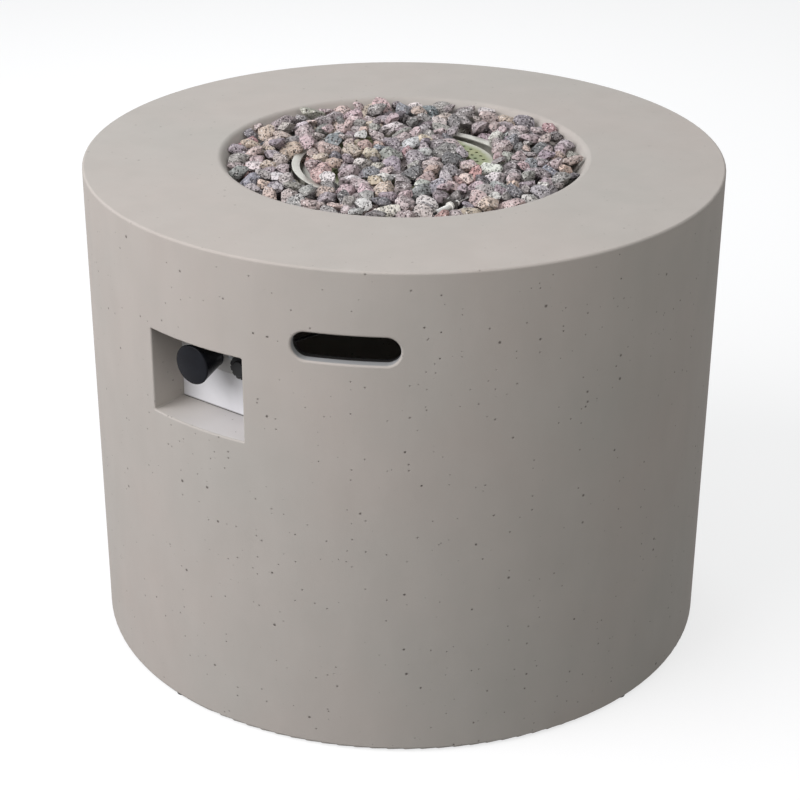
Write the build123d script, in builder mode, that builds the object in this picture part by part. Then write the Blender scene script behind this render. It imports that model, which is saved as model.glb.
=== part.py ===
"""Round cast-concrete gas fire pit with a ring burner under a bed of lava rock.

Millimetres, +Z up. The origin is on the ground at the centre of the drum, and the control recess faces -Y.
"""

import os
from math import cos, hypot, pi, radians, sin, sqrt, tan
from random import Random

from build123d import *

os.makedirs("parts", exist_ok=True)

# Clearances
fit_gap = 0.1  # between fixed pieces, on the radius
run_gap = 0.05  # between a moving piece and its guide, on the radius
seat_gap = 0.3  # between pieces that lie close but must not touch

# Concrete drum
body_radius = 390.0
body_height = 610.0  # ground to deck
shell_wall = 18.0
deck_thickness = 24.0
rim_fillet = 3.0
base_fillet = 4.0
cavity_fillet = 12.0

# Feet
foot_count = 4
foot_angle = 82.0
foot_height = 2.0
foot_radius = 7.0
foot_chamfer = 0.5
foot_spigot_radius = 4.0
foot_spigot_length = 8.0

# Fire opening in the deck
opening_draft = 16.0  # wall leans out from the ledge to the deck
opening_lip_fillet = 8.0
ledge_radius = 208.0  # foot of the drafted opening wall
ledge_depth = 25.5  # deck to ledge
ledge_width = 12.0
ledge_thickness = 22.0
collar_width = 24.0  # concrete kept around the ledge under the deck

# Finger slots through the drum wall
slot_length = 120.0
slot_height = 33.0
slot_drop = 92.0  # deck to slot centre
slot_angle = 27.75  # from the recess towards +X; the second slot is opposite
slot_edge_fillet = 2.5

# Control recess
recess_width = 135.0
recess_height = 102.0
recess_depth = 55.0  # drum surface to plate, on the centre line
recess_drop = 171.0  # deck to recess centre
recess_corner = 1.5
recess_edge_fillet = 2.0
sleeve_wall = 12.0  # concrete around the recess, inside the drum

# Control plate, its screws and the bare label
plate_thickness = 1.5
plate_margin = 2.0  # plate edge inside the sleeve's edge
plate_screw_radius = 2.5
plate_screw_length = 14.0
plate_head_radius = 4.5
plate_head_height = 3.0
label_margin = 1.0  # label edge inside the recess
label_clear = 2.0  # label to the igniter's bezel
label_thickness = 0.3

# Knob and valve stem
knob_spacing = 39.5  # knob to igniter
knob_rise = 20.0  # above the recess centre
knob_length = 39.5
knob_push = 6.0
knob_stop = 1.5  # knob to plate when pushed home
knob_face_radius = 23.5
knob_back_radius = 14.5
knob_edge = 2.0
knob_dome = 1.6
knob_bore_depth = 22.0
stem_radius = 4.0
stem_flat = 3.0  # centre to the flat of the D
stem_hole_gap = 2.0  # stem to the plate
stem_collar_gap = 0.5  # collar to the chamber's wall
stem_collar_length = 3.2

# Gas valve behind the plate
valve_width = 36.0
valve_below = 24.0  # below the knob axis
valve_above = 36.0
valve_fillet = 3.0
valve_ear_wall = 2.2  # metal around a screw head
bonnet_wall = 8.0  # valve front to chamber
chamber_radius = 6.55
gas_way_radius = 3.0
outlet_rise = 24.0  # outlet above the knob axis
plunger_length = 7.7
spring_room = 10.5  # left for the plunger's spring when pushed home
plunger_coil_radius = 4.6
plunger_wire_radius = 0.6
plunger_turns = 5
valve_screw_gap = 1.0  # screw head to the knob's back
valve_screw_radius = 2.0
valve_screw_length = 10.0
valve_head_radius = 3.6
valve_head_height = 2.0
magnet_flange = 2.5  # flange beyond the chamber
magnet_length = 8.0
magnet_spigot_length = 8.0

# Gas inlet under the valve
inlet_radius = 7.94
inlet_length = 14.0
inlet_hex = 17.0  # across flats
inlet_hex_height = 9.0
inlet_spigot_radius = 6.0
inlet_spigot_length = 7.0

# Push igniter
igniter_inset = 38.5  # recess side to the igniter
igniter_rise = 14.0
battery_radius = 7.1
battery_length = 49.0
battery_nub_radius = 2.7
battery_nub_length = 1.2
battery_gap = 0.25
button_ledge = 1.9  # button beyond the battery
button_length = 8.0
button_push = 4.0
button_edge = 1.2
button_bore_floor = 3.0  # behind the plate's face
button_wire_radius = 0.4
button_turns = 3
bezel_lip = 3.0
bezel_height = 9.0
bezel_notches = 12
bezel_notch_radius = 1.2
barrel_wall = 2.0
barrel_end = 4.0
igniter_nut_wall = 3.0
igniter_nut_height = 6.0

# Fire bowl
bowl_sheet = 1.5
bowl_side_gap = 14.5  # bowl to the ledge, under the flange
bowl_draft = 15.0  # wall drawn in at the floor
bowl_depth = 59.0  # flange to floor
bowl_bend = 5.0
flange_gap = 2.0  # flange to the opening wall
drain_count = 6
drain_radius = 4.0
drain_inset = 14.0  # inside the burner's edge
drain_angle = 60.0

# Ring burner
burner_sheet = 1.0
burner_room = 25.0  # burner to the edge of the bowl's floor
burner_width = 70.0  # of the ring
burner_flange = 8.0
burner_flank_inner = 6.0  # width of the inner slope
burner_flank_outer = 20.0  # width of the outer slope
burner_rise = 16.0  # flange to flat top
burner_pan_depth = 13.0
burner_bend = 2.0
port_radius = 2.2
port_count = 44  # in each row
port_rows = 2
port_inset = 6.0  # flat's inner edge to the first row
port_row_step = 9.0
pipe_radius = 10.65
pipe_bore = 8.0
pipe_entry = 4.0  # pipe end inside the burner
post_radius = 6.0
post_start_angle = 30.0
post_count = 2
post_step = 120.0
post_screw_radius = 2.5
post_screw_length = 14.0
post_head_radius = 4.5
post_head_height = 3.0
locknut_hex = 32.0
locknut_height = 7.0

# Elbow, air mixer, jet and gas tube under the bowl
elbow_clear = 1.0  # locknut to elbow
elbow_wall = 4.0
elbow_shoulder = 1.5
elbow_socket = 10.0
mixer_wall = 6.0
mixer_neck = 6.0  # thin stretch next to the elbow
mixer_length = 48.0
air_hole_radius = 4.5
air_hole_count = 4
jet_hex = 19.0
jet_length = 14.0
jet_spigot_length = 9.0
jet_orifice_radius = 0.6
tube_radius = 4.0
tube_bore = 3.0
tube_socket = 7.0
tube_straight = 0.3  # share of the way that is straight at each fitting
tube_nut_hex = 14.0
tube_nut_length = 9.0

# Electrode, thermocouple and their bracket on the bowl's flange
electrode_angle = 47.0  # from the recess towards +X
probe_gap = 16.0  # electrode to probe
electrode_rise = 13.0  # above the bowl's flange
ceramic_radius = 3.5
ceramic_length = 42.0
ceramic_collar = 2.0  # collar beyond the ceramic
ceramic_collar_length = 3.0
rod_radius = 1.1
rod_inside = 30.0  # rod held in the ceramic
rod_reach = 36.0  # ceramic to bend
rod_hook_x = -22.0
rod_hook_y = 7.0
rod_bend = 6.0
probe_radius = 2.4
probe_back = 20.0  # behind the bracket
probe_front = 46.0  # before the bracket
bracket_sheet = 1.5
bracket_margin = 7.0  # bracket past the probe
bracket_screw_gap = 20.0  # electrode to the bracket's screw
bracket_pad = 18.0
bracket_height = 20.0
bracket_shoulder = 6.0  # height of the upright beside the pad
bracket_cheek = 9.0  # electrode to that shoulder
bracket_screw_radius = 2.0
bracket_screw_length = 8.0
bracket_head_radius = 3.5
bracket_head_height = 2.4
bracket_nut_hex = 7.0
bracket_nut_height = 3.2
grommet_wall = 2.5
grommet_lip = 1.0
grommet_lip_height = 1.2
bend_share = 0.45  # of the shorter side that a bend in a tube or lead takes
lead_radius = 1.5
lead_bend = 4.5
lead_stub = 1.0  # straight before the ceramic
lead_straight = 25.0  # straight before the igniter and the valve
lead_shares = (0.25, 0.55)  # of the way down, where a lead turns
capillary_radius = 1.2
thermocouple_nut_hex = 10.0
thermocouple_nut_length = 8.0

# Lava rock
stone_count = 215
stone_fill = 0.98  # stone width as a share of the room between neighbours
stone_sides = 6
stone_uneven_side = 0.22  # corners shift round by this share of a side
stone_narrow = 0.8  # nearest corner as a share of the stone's reach
stone_lean = 0.15  # crown off the middle, as a share of the reach
stone_foot = 0.72  # foot's size as a share of the waist's
stone_waist = 0.4  # waist's level as a share of the height
stone_crown = 0.5  # crown's size as a share of the waist's
stone_seed = 11
stone_height = 12.0
stone_uneven = 1.8  # stone heights vary by this much
stone_margin = 3.0  # stones to the opening wall
stone_clear = 4.0  # stones to the electrode and the probe
bed_gap = 0.8  # lower stones to the burner and the bowl
bed_heap = 10.0  # lower stones over the burner, above the bowl's flange

# Worked out: controls
igniter_x = recess_width / 2 - igniter_inset
knob_x = igniter_x - knob_spacing
knob_clear = knob_push + knob_stop
knob_reach = knob_clear + knob_length
stem_collar_radius = chamber_radius - stem_collar_gap
chamber_length = 2 * seat_gap + stem_collar_length + plunger_length + knob_push + spring_room
valve_depth = bonnet_wall + chamber_length + magnet_spigot_length
valve_screw_spread = knob_back_radius + valve_screw_gap + valve_head_radius
button_radius = battery_radius + button_ledge
barrel_radius = button_radius + barrel_wall
bezel_radius = barrel_radius + bezel_lip

# Worked out: bowl and burner
inner_radius = body_radius - shell_wall
opening_radius = ledge_radius + opening_draft
ledge_inner = ledge_radius - ledge_width
bowl_wall_radius = ledge_inner - bowl_side_gap - bowl_sheet
bowl_floor_radius = bowl_wall_radius - bowl_draft
burner_radius = bowl_floor_radius - burner_room
burner_bore = burner_radius - burner_width
burner_flat_inner = burner_bore + burner_flange + burner_flank_inner
burner_flat_outer = burner_radius - burner_flange - burner_flank_outer
drain_circle = burner_radius - drain_inset
pipe_circle = (burner_flat_inner + burner_flat_outer) / 2
elbow_radius = pipe_radius + elbow_wall
elbow_leg = pipe_radius + elbow_shoulder + elbow_socket
mixer_radius = pipe_bore + mixer_wall

# Worked out: levels and places
deck_z = body_height
ledge_z = deck_z - ledge_depth
flange_z = ledge_z + bowl_sheet
floor_z = flange_z - bowl_depth
bowl_under_z = floor_z - bowl_sheet
recess_z = deck_z - recess_drop
slot_z = deck_z - slot_drop
knob_z = recess_z + knob_rise
igniter_z = recess_z + igniter_rise
outlet_z = knob_z + outlet_rise
plate_y = -(body_radius - recess_depth)
plate_back_y = plate_y + plate_thickness
valve_rear_y = plate_back_y + valve_depth
bed_z = flange_z + bed_heap
burner_top_z = bed_z - seat_gap
burner_flange_z = burner_top_z - burner_rise
burner_seam_z = burner_flange_z - burner_sheet
burner_under_z = burner_seam_z - burner_pan_depth - burner_sheet
mixer_z = bowl_under_z - locknut_height - elbow_clear - elbow_leg
pipe_y = -sqrt(pipe_circle**2 - knob_x**2)
electrode_z = flange_z + electrode_rise
lead_circle = (bowl_wall_radius + bowl_bend + ledge_inner) / 2
electrode_x = lead_circle * sin(radians(electrode_angle))
probe_x = electrode_x - probe_gap
bracket_screw_x = electrode_x + bracket_screw_gap
electrode_hole_y = -sqrt(lead_circle**2 - electrode_x**2)
probe_hole_y = -sqrt(lead_circle**2 - probe_x**2)
bracket_screw_y = -sqrt(lead_circle**2 - bracket_screw_x**2)
bracket_y = bracket_screw_y + bracket_pad / 2
ceramic_rear_y = electrode_hole_y + lead_bend + lead_stub
ceramic_tip_y = ceramic_rear_y + ceramic_length
grommet_radius = lead_radius + grommet_wall

# The plate's face, looking out of the recess: x to +X, y up, normal to -Y
plate_face = Plane(origin=(0, plate_y, recess_z), x_dir=(1, 0, 0), z_dir=(0, -1, 0))


def keep(builder, name):
    builder.part.label = name
    export_step(builder.part, f"parts/{name}.step")


def turned(x, z):
    """Sketch plane for pieces turned about a control's axis: radius, then distance out from the plate."""
    return Plane(origin=(x, plate_y, z), x_dir=(1, 0, 0), z_dir=(0, 0, -1))


def control_axis(x, z):
    return Axis((x, plate_y, z), (0, -1, 0))


def hex_radius(flats):
    return flats / sqrt(3)


def post_places():
    return PolarLocations(
        pipe_circle, post_count, start_angle=post_start_angle, angular_range=post_count * post_step
    )


def run_radii(points):
    """The largest arc that each corner of a lead has room for."""
    steps = [Vector(*b) - Vector(*a) for a, b in zip(points, points[1:])]
    radii = []
    for before, after in zip(steps, steps[1:]):
        half_turn = radians(before.get_angle(after)) / 2
        radii.append(bend_share * min(before.length, after.length) / tan(half_turn))
    return radii


def hanging(start, end):
    """Turning points of a lead that hangs from start and comes in level at end."""
    points = []
    for share in lead_shares:
        sag = 1 - (1 - share) ** 2
        points.append(
            (
                start[0] + share * (end[0] - start[0]),
                start[1] + share * (end[1] - start[1]),
                start[2] + sag * (end[2] - start[2]),
            )
        )
    return points


def coil_arcs(start, coil_radius, length, turns):
    """Arcs along a coil about -Y, two to a quarter turn: start, end and starting direction of each."""
    steps = turns * 4
    rise = length / (2 * pi * turns)

    def point(step):
        angle = step * pi / 2
        return start + Vector(coil_radius * cos(angle), -rise * angle, coil_radius * sin(angle))

    def tangent(step):
        angle = step * pi / 2
        return Vector(-coil_radius * sin(angle), -rise, coil_radius * cos(angle)).normalized()

    arcs = []
    for step in range(steps):
        first, last = point(step), point(step + 1)
        leave, arrive = tangent(step), tangent(step + 1)
        chord = last - first
        both = leave + arrive
        slack = 2 * (1 - leave.dot(arrive))
        reach = (sqrt(chord.dot(both) ** 2 + slack * chord.dot(chord)) - chord.dot(both)) / slack
        joint = (first + leave * reach + last - arrive * reach) * 0.5
        across = (last - arrive * reach - first - leave * reach).normalized()
        arcs.append((first, joint, leave))
        arcs.append((joint, last, across))
    return arcs


# Concrete drum: one casting with the deck, the ledge, the recess and the slots
collar_radius = ledge_radius + collar_width
collar_z = ledge_z - ledge_thickness
drum_radii = [0, base_fillet, rim_fillet, opening_lip_fillet, 0, 0, 0, 0, base_fillet, cavity_fillet]
with BuildPart() as concrete_body:
    with BuildSketch(Plane.XZ):
        with BuildLine():
            FilletPolyline(
                (inner_radius, foot_height),
                (body_radius, foot_height),
                (body_radius, deck_z),
                (opening_radius, deck_z),
                (ledge_radius, ledge_z),
                (ledge_inner, ledge_z),
                (ledge_inner, collar_z),
                (collar_radius, collar_z),
                (collar_radius, deck_z - deck_thickness),
                (inner_radius, deck_z - deck_thickness),
                radius=drum_radii,
                close=True,
            )
        make_face()
    revolve(axis=Axis.Z)
    with BuildSketch(plate_face):
        RectangleRounded(
            recess_width + 2 * sleeve_wall, recess_height + 2 * sleeve_wall, recess_corner + sleeve_wall
        )
    extrude(amount=recess_depth - shell_wall * 3 / 4)
    with BuildSketch(plate_face):
        RectangleRounded(recess_width, recess_height, recess_corner)
    extrude(amount=2 * recess_depth, mode=Mode.SUBTRACT)
    recess_mouth = edges(Select.LAST).filter_by(
        lambda edge: edge.center().Y < plate_y - recess_depth / 2 and edge.geom_type != GeomType.LINE
    )
    fillet(recess_mouth, radius=recess_edge_fillet)
    with BuildSketch(plate_face):
        with GridLocations(recess_width + sleeve_wall, recess_height + sleeve_wall, 2, 2):
            Circle(plate_screw_radius + fit_gap)
    extrude(amount=plate_screw_length + seat_gap, mode=Mode.SUBTRACT)
    for angle in (slot_angle, slot_angle + 180):
        outward = Vector(sin(radians(angle)), -cos(radians(angle)), 0)
        along = Vector(cos(radians(angle)), sin(radians(angle)), 0)
        inside = outward * (inner_radius - 2 * shell_wall) + Vector(0, 0, slot_z)
        with BuildSketch(Plane(origin=inside, x_dir=along, z_dir=outward)):
            SlotOverall(slot_length, slot_height)
        extrude(amount=4 * shell_wall, mode=Mode.SUBTRACT)
        slot_mouth = edges(Select.LAST).filter_by(
            lambda edge: hypot(edge.center().X, edge.center().Y) > body_radius - shell_wall / 2
            and edge.geom_type != GeomType.LINE
        )
        fillet(slot_mouth, radius=slot_edge_fillet)
    with BuildSketch(Plane.XY.offset(foot_height)):
        with PolarLocations(body_radius - shell_wall / 2, foot_count, start_angle=foot_angle):
            Circle(foot_spigot_radius + fit_gap)
    extrude(amount=foot_spigot_length + seat_gap, mode=Mode.SUBTRACT)
keep(concrete_body, "concrete_body")

# Rubber feet: a pad with a spigot in the wall's lower edge
with BuildPart() as rubber_feet:
    with BuildSketch(Plane.XY):
        with PolarLocations(body_radius - shell_wall / 2, foot_count, start_angle=foot_angle):
            Circle(foot_radius)
    extrude(amount=foot_height)
    chamfer(edges().group_by(Axis.Z)[0], length=foot_chamfer)
    with BuildSketch(Plane.XY.offset(foot_height)):
        with PolarLocations(body_radius - shell_wall / 2, foot_count, start_angle=foot_angle):
            Circle(foot_spigot_radius)
    extrude(amount=foot_spigot_length)
keep(rubber_feet, "rubber_feet")

# Fire bowl: pressed sheet that hangs by its flange on the ledge
flange_radius = ledge_radius - flange_gap
with BuildPart() as fire_bowl:
    with BuildSketch(Plane.XZ):
        with BuildLine():
            bowl_line = FilletPolyline(
                (0, floor_z),
                (bowl_floor_radius, floor_z),
                (bowl_wall_radius, flange_z),
                (flange_radius, flange_z),
                radius=bowl_bend,
            )
            offset(bowl_line, amount=bowl_sheet, side=Side.RIGHT)
        make_face()
    revolve(axis=Axis.Z)
    with BuildSketch(Plane.XY.offset(floor_z)):
        with Locations((knob_x, pipe_y)):
            Circle(pipe_radius + fit_gap)
        with post_places():
            Circle(post_screw_radius + fit_gap)
        with PolarLocations(drain_circle, drain_count, start_angle=drain_angle):
            Circle(drain_radius)
    extrude(amount=-2 * bowl_sheet, mode=Mode.SUBTRACT)
    with BuildSketch(Plane.XY.offset(flange_z)):
        with Locations((electrode_x, electrode_hole_y), (probe_x, probe_hole_y)):
            Circle(grommet_radius + fit_gap)
        with Locations((bracket_screw_x, bracket_screw_y)):
            Circle(bracket_screw_radius + fit_gap)
    extrude(amount=-2 * bowl_sheet, mode=Mode.SUBTRACT)
keep(fire_bowl, "fire_bowl")

# Ring burner: perforated top pressing over a pan, both flanged
with BuildPart() as burner_top:
    with BuildSketch(Plane.XZ):
        with BuildLine():
            top_line = FilletPolyline(
                (burner_bore, burner_flange_z),
                (burner_bore + burner_flange, burner_flange_z),
                (burner_flat_inner, burner_top_z),
                (burner_flat_outer, burner_top_z),
                (burner_radius - burner_flange, burner_flange_z),
                (burner_radius, burner_flange_z),
                radius=burner_bend,
            )
            offset(top_line, amount=burner_sheet, side=Side.RIGHT)
        make_face()
    revolve(axis=Axis.Z)
    with BuildSketch(Plane.XY.offset(burner_top_z)):
        for row in range(port_rows):
            port_circle = burner_flat_inner + port_inset + row * port_row_step
            with PolarLocations(port_circle, port_count, start_angle=row * 180 / port_count):
                Circle(port_radius)
    extrude(amount=-2 * burner_sheet, mode=Mode.SUBTRACT)
keep(burner_top, "burner_top")

with BuildPart() as burner_base:
    with BuildSketch(Plane.XZ):
        with BuildLine():
            pan_line = FilletPolyline(
                (burner_bore, burner_seam_z),
                (burner_bore + burner_flange, burner_seam_z),
                (burner_flat_inner, burner_under_z + burner_sheet),
                (burner_flat_outer, burner_under_z + burner_sheet),
                (burner_radius - burner_flange, burner_seam_z),
                (burner_radius, burner_seam_z),
                radius=burner_bend,
            )
            offset(pan_line, amount=burner_sheet, side=Side.RIGHT)
        make_face()
    revolve(axis=Axis.Z)
    with BuildSketch(Plane.XY.offset(burner_under_z)):
        with Locations((knob_x, pipe_y)):
            Circle(pipe_radius + fit_gap)
    extrude(amount=2 * burner_sheet, mode=Mode.SUBTRACT)
keep(burner_base, "burner_base")

# Feed pipe through the bowl's floor, with a locknut on each side
elbow_top_z = mixer_z + elbow_leg
pipe_foot_z = elbow_top_z - elbow_socket
with BuildPart() as burner_pipe:
    with BuildSketch(Plane.XY.offset(pipe_foot_z)):
        with Locations((knob_x, pipe_y)):
            Circle(pipe_radius)
            Circle(pipe_bore, mode=Mode.SUBTRACT)
    extrude(amount=burner_under_z + burner_sheet + pipe_entry - pipe_foot_z)
keep(burner_pipe, "burner_pipe")

with BuildPart() as pipe_locknuts:
    for level in (bowl_under_z - locknut_height, floor_z):
        with BuildSketch(Plane.XY.offset(level)):
            with Locations((knob_x, pipe_y)):
                RegularPolygon(hex_radius(locknut_hex), 6)
                Circle(pipe_radius + fit_gap, mode=Mode.SUBTRACT)
        extrude(amount=locknut_height)
keep(pipe_locknuts, "pipe_locknuts")

# Posts under the burner, screwed to the bowl's floor from below
with BuildPart() as burner_posts:
    with BuildSketch(Plane.XY.offset(floor_z)):
        with post_places():
            Circle(post_radius)
    extrude(amount=burner_under_z - floor_z)
    with BuildSketch(Plane.XY.offset(floor_z)):
        with post_places():
            Circle(post_screw_radius + fit_gap)
    extrude(amount=post_screw_length, mode=Mode.SUBTRACT)
keep(burner_posts, "burner_posts")

with BuildPart() as post_screws:
    with BuildSketch(Plane.XY.offset(bowl_under_z)):
        with post_places():
            Circle(post_head_radius)
    extrude(amount=-post_head_height)
    with BuildSketch(Plane.XY.offset(bowl_under_z)):
        with post_places():
            Circle(post_screw_radius)
    extrude(amount=post_screw_length)
    with BuildSketch(Plane.XY.offset(bowl_under_z - post_head_height)):
        with post_places():
            RegularPolygon(post_screw_radius, 6)
    extrude(amount=post_head_height / 2, mode=Mode.SUBTRACT)
keep(post_screws, "post_screws")

# Elbow: turns the feed pipe towards the controls
mixer_plane = Plane(origin=(knob_x, pipe_y, mixer_z), x_dir=(1, 0, 0), z_dir=(0, -1, 0))
with BuildPart() as pipe_elbow:
    with BuildSketch(Plane.XY.offset(mixer_z)):
        with Locations((knob_x, pipe_y)):
            Circle(elbow_radius)
    extrude(amount=elbow_leg)
    with BuildSketch(mixer_plane):
        Circle(elbow_radius)
    extrude(amount=elbow_leg)
    with Locations((knob_x, pipe_y, mixer_z)):
        Sphere(elbow_radius)
    with BuildSketch(Plane.XY.offset(pipe_foot_z)):
        with Locations((knob_x, pipe_y)):
            Circle(pipe_radius + fit_gap)
    extrude(amount=elbow_socket, mode=Mode.SUBTRACT)
    with BuildSketch(mixer_plane.offset(elbow_leg - elbow_socket)):
        Circle(pipe_radius + fit_gap)
    extrude(amount=elbow_socket, mode=Mode.SUBTRACT)
    with BuildSketch(Plane.XY.offset(mixer_z)):
        with Locations((knob_x, pipe_y)):
            Circle(pipe_bore)
    extrude(amount=elbow_leg, mode=Mode.SUBTRACT)
    with BuildSketch(mixer_plane):
        Circle(pipe_bore)
    extrude(amount=elbow_leg, mode=Mode.SUBTRACT)
    with Locations((knob_x, pipe_y, mixer_z)):
        Sphere(pipe_bore, mode=Mode.SUBTRACT)
keep(pipe_elbow, "pipe_elbow")

# Air mixer: a tube with a ring of air holes just past the jet
mixer_start = elbow_leg - elbow_socket  # from the elbow's centre
mixer_shoulder = elbow_leg + mixer_neck
mixer_end = mixer_shoulder + mixer_length
with BuildPart() as air_mixer:
    with BuildSketch(mixer_plane.offset(mixer_start)):
        Circle(pipe_radius)
    extrude(amount=mixer_shoulder - mixer_start)
    with BuildSketch(mixer_plane.offset(mixer_shoulder)):
        Circle(mixer_radius)
    extrude(amount=mixer_length)
    with BuildSketch(mixer_plane.offset(mixer_start)):
        Circle(pipe_bore)
    extrude(amount=mixer_end - mixer_start, mode=Mode.SUBTRACT)
    air_hole_y = pipe_y - mixer_shoulder - mixer_length / 2
    for turn in range(air_hole_count):
        angle = radians(turn * 360 / air_hole_count)
        outward = Vector(cos(angle), 0, sin(angle))
        with BuildSketch(Plane(origin=(knob_x, air_hole_y, mixer_z), x_dir=(0, 1, 0), z_dir=outward)):
            Circle(air_hole_radius)
        extrude(amount=2 * mixer_radius, mode=Mode.SUBTRACT)
keep(air_mixer, "air_mixer")

# Brass jet in the mixer's end
with BuildPart() as gas_jet:
    with BuildSketch(mixer_plane.offset(mixer_end)):
        RegularPolygon(hex_radius(jet_hex), 6)
    extrude(amount=jet_length)
    with BuildSketch(mixer_plane.offset(mixer_end)):
        Circle(pipe_bore - fit_gap)
    extrude(amount=-jet_spigot_length)
    with BuildSketch(mixer_plane.offset(mixer_end + jet_length)):
        Circle(tube_radius + fit_gap)
    extrude(amount=-tube_socket, mode=Mode.SUBTRACT)
    with BuildSketch(mixer_plane.offset(mixer_end - jet_spigot_length)):
        Circle(jet_orifice_radius)
    extrude(amount=jet_length + jet_spigot_length, mode=Mode.SUBTRACT)
keep(gas_jet, "gas_jet")

# Gas tube from the valve's outlet to the jet, with a nut at each end
jet_end_y = pipe_y - mixer_end - jet_length
tube_way = jet_end_y - valve_rear_y
tube_route = [
    (knob_x, valve_rear_y - tube_socket, outlet_z),
    (knob_x, valve_rear_y + tube_straight * tube_way, outlet_z),
    (knob_x, jet_end_y - tube_straight * tube_way, mixer_z),
    (knob_x, jet_end_y + tube_socket, mixer_z),
]
with BuildPart() as gas_tube:
    with BuildLine() as tube_line:
        FilletPolyline(*tube_route, radius=run_radii(tube_route))
    with BuildSketch(Plane(origin=tube_route[0], x_dir=(1, 0, 0), z_dir=(0, 1, 0))):
        Circle(tube_radius)
        Circle(tube_bore, mode=Mode.SUBTRACT)
    sweep(path=tube_line.line)
keep(gas_tube, "gas_tube")

outlet_face = Plane(origin=(knob_x, valve_rear_y, outlet_z), x_dir=(1, 0, 0), z_dir=(0, 1, 0))
with BuildPart() as tube_nuts:
    for face in (outlet_face, mixer_plane.offset(mixer_end + jet_length)):
        with BuildSketch(face):
            RegularPolygon(hex_radius(tube_nut_hex), 6)
            Circle(tube_radius + fit_gap, mode=Mode.SUBTRACT)
        extrude(amount=tube_nut_length)
keep(tube_nuts, "tube_nuts")

# Control plate, held to the sleeve from inside
plate_width = recess_width + 2 * sleeve_wall - 2 * plate_margin
plate_height = recess_height + 2 * sleeve_wall - 2 * plate_margin
with BuildPart() as control_plate:
    with BuildSketch(plate_face):
        RectangleRounded(plate_width, plate_height, recess_corner)
        with Locations((knob_x, knob_rise)):
            Circle(stem_radius + stem_hole_gap, mode=Mode.SUBTRACT)
        with Locations((igniter_x, igniter_rise)):
            Circle(barrel_radius + fit_gap, mode=Mode.SUBTRACT)
        with Locations((knob_x - valve_screw_spread, knob_rise), (knob_x + valve_screw_spread, knob_rise)):
            Circle(valve_screw_radius + fit_gap, mode=Mode.SUBTRACT)
        with GridLocations(recess_width + sleeve_wall, recess_height + sleeve_wall, 2, 2):
            Circle(plate_screw_radius + fit_gap, mode=Mode.SUBTRACT)
    extrude(amount=-plate_thickness)
keep(control_plate, "control_plate")

with BuildPart() as plate_screws:
    with BuildSketch(plate_face.offset(-plate_thickness)):
        with GridLocations(recess_width + sleeve_wall, recess_height + sleeve_wall, 2, 2):
            Circle(plate_head_radius)
    extrude(amount=-plate_head_height)
    with BuildSketch(plate_face.offset(-plate_thickness)):
        with GridLocations(recess_width + sleeve_wall, recess_height + sleeve_wall, 2, 2):
            Circle(plate_screw_radius)
    extrude(amount=plate_thickness + plate_screw_length)
    with BuildSketch(plate_face.offset(-plate_thickness - plate_head_height)):
        with GridLocations(recess_width + sleeve_wall, recess_height + sleeve_wall, 2, 2):
            RegularPolygon(plate_screw_radius, 6)
    extrude(amount=plate_head_height / 2, mode=Mode.SUBTRACT)
keep(plate_screws, "plate_screws")

# Bare white film under the controls
label_foot = label_margin - recess_height / 2
label_head = igniter_rise - bezel_radius - label_clear
with BuildPart() as blank_label:
    with BuildSketch(plate_face):
        with Locations((0, (label_foot + label_head) / 2)):
            RectangleRounded(recess_width - 2 * label_margin, label_head - label_foot, label_margin / 2)
    extrude(amount=label_thickness)
keep(blank_label, "blank_label")

# Gas valve: a die-cast block with the plunger's chamber on the knob's axis
chamber_front = plate_thickness + bonnet_wall  # behind the plate's face
chamber_end = chamber_front + chamber_length
valve_middle_y = plate_back_y + valve_depth / 2
valve_foot_z = knob_z - valve_below
with BuildPart() as gas_valve_body:
    with BuildSketch(plate_face.offset(-plate_thickness)):
        with Locations((knob_x, knob_rise + (valve_above - valve_below) / 2)):
            RectangleRounded(valve_width, valve_above + valve_below, valve_fillet)
        with Locations((knob_x, knob_rise)):
            SlotCenterToCenter(2 * valve_screw_spread, 2 * (valve_head_radius + valve_ear_wall))
    extrude(amount=-bonnet_wall)
    with BuildSketch(plate_face.offset(-plate_thickness - bonnet_wall)):
        with Locations((knob_x, knob_rise + (valve_above - valve_below) / 2)):
            RectangleRounded(valve_width, valve_above + valve_below, valve_fillet)
    extrude(amount=bonnet_wall - valve_depth)
    with BuildSketch(plate_face):
        with Locations((knob_x, knob_rise)):
            Circle(stem_radius + run_gap)
    extrude(amount=-chamber_front, mode=Mode.SUBTRACT)
    with BuildSketch(plate_face.offset(-chamber_front)):
        with Locations((knob_x, knob_rise)):
            Circle(chamber_radius)
    extrude(amount=-valve_depth, mode=Mode.SUBTRACT)
    with BuildSketch(plate_face.offset(-plate_thickness)):
        with Locations((knob_x - valve_screw_spread, knob_rise), (knob_x + valve_screw_spread, knob_rise)):
            Circle(valve_screw_radius + fit_gap)
    extrude(amount=-valve_screw_length, mode=Mode.SUBTRACT)
    with BuildSketch(Plane.XY.offset(valve_foot_z)):
        with Locations((knob_x, valve_middle_y)):
            Circle(inlet_spigot_radius + fit_gap)
    extrude(amount=inlet_spigot_length + seat_gap, mode=Mode.SUBTRACT)
    with BuildSketch(Plane.XY.offset(valve_foot_z)):
        with Locations((knob_x, valve_middle_y)):
            Circle(gas_way_radius)
    extrude(amount=outlet_z - valve_foot_z, mode=Mode.SUBTRACT)
    with BuildSketch(outlet_face):
        Circle(gas_way_radius)
    extrude(amount=-valve_depth / 2, mode=Mode.SUBTRACT)
    with BuildSketch(outlet_face):
        Circle(tube_radius + fit_gap)
    extrude(amount=-tube_socket, mode=Mode.SUBTRACT)
keep(gas_valve_body, "gas_valve_body")

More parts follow.
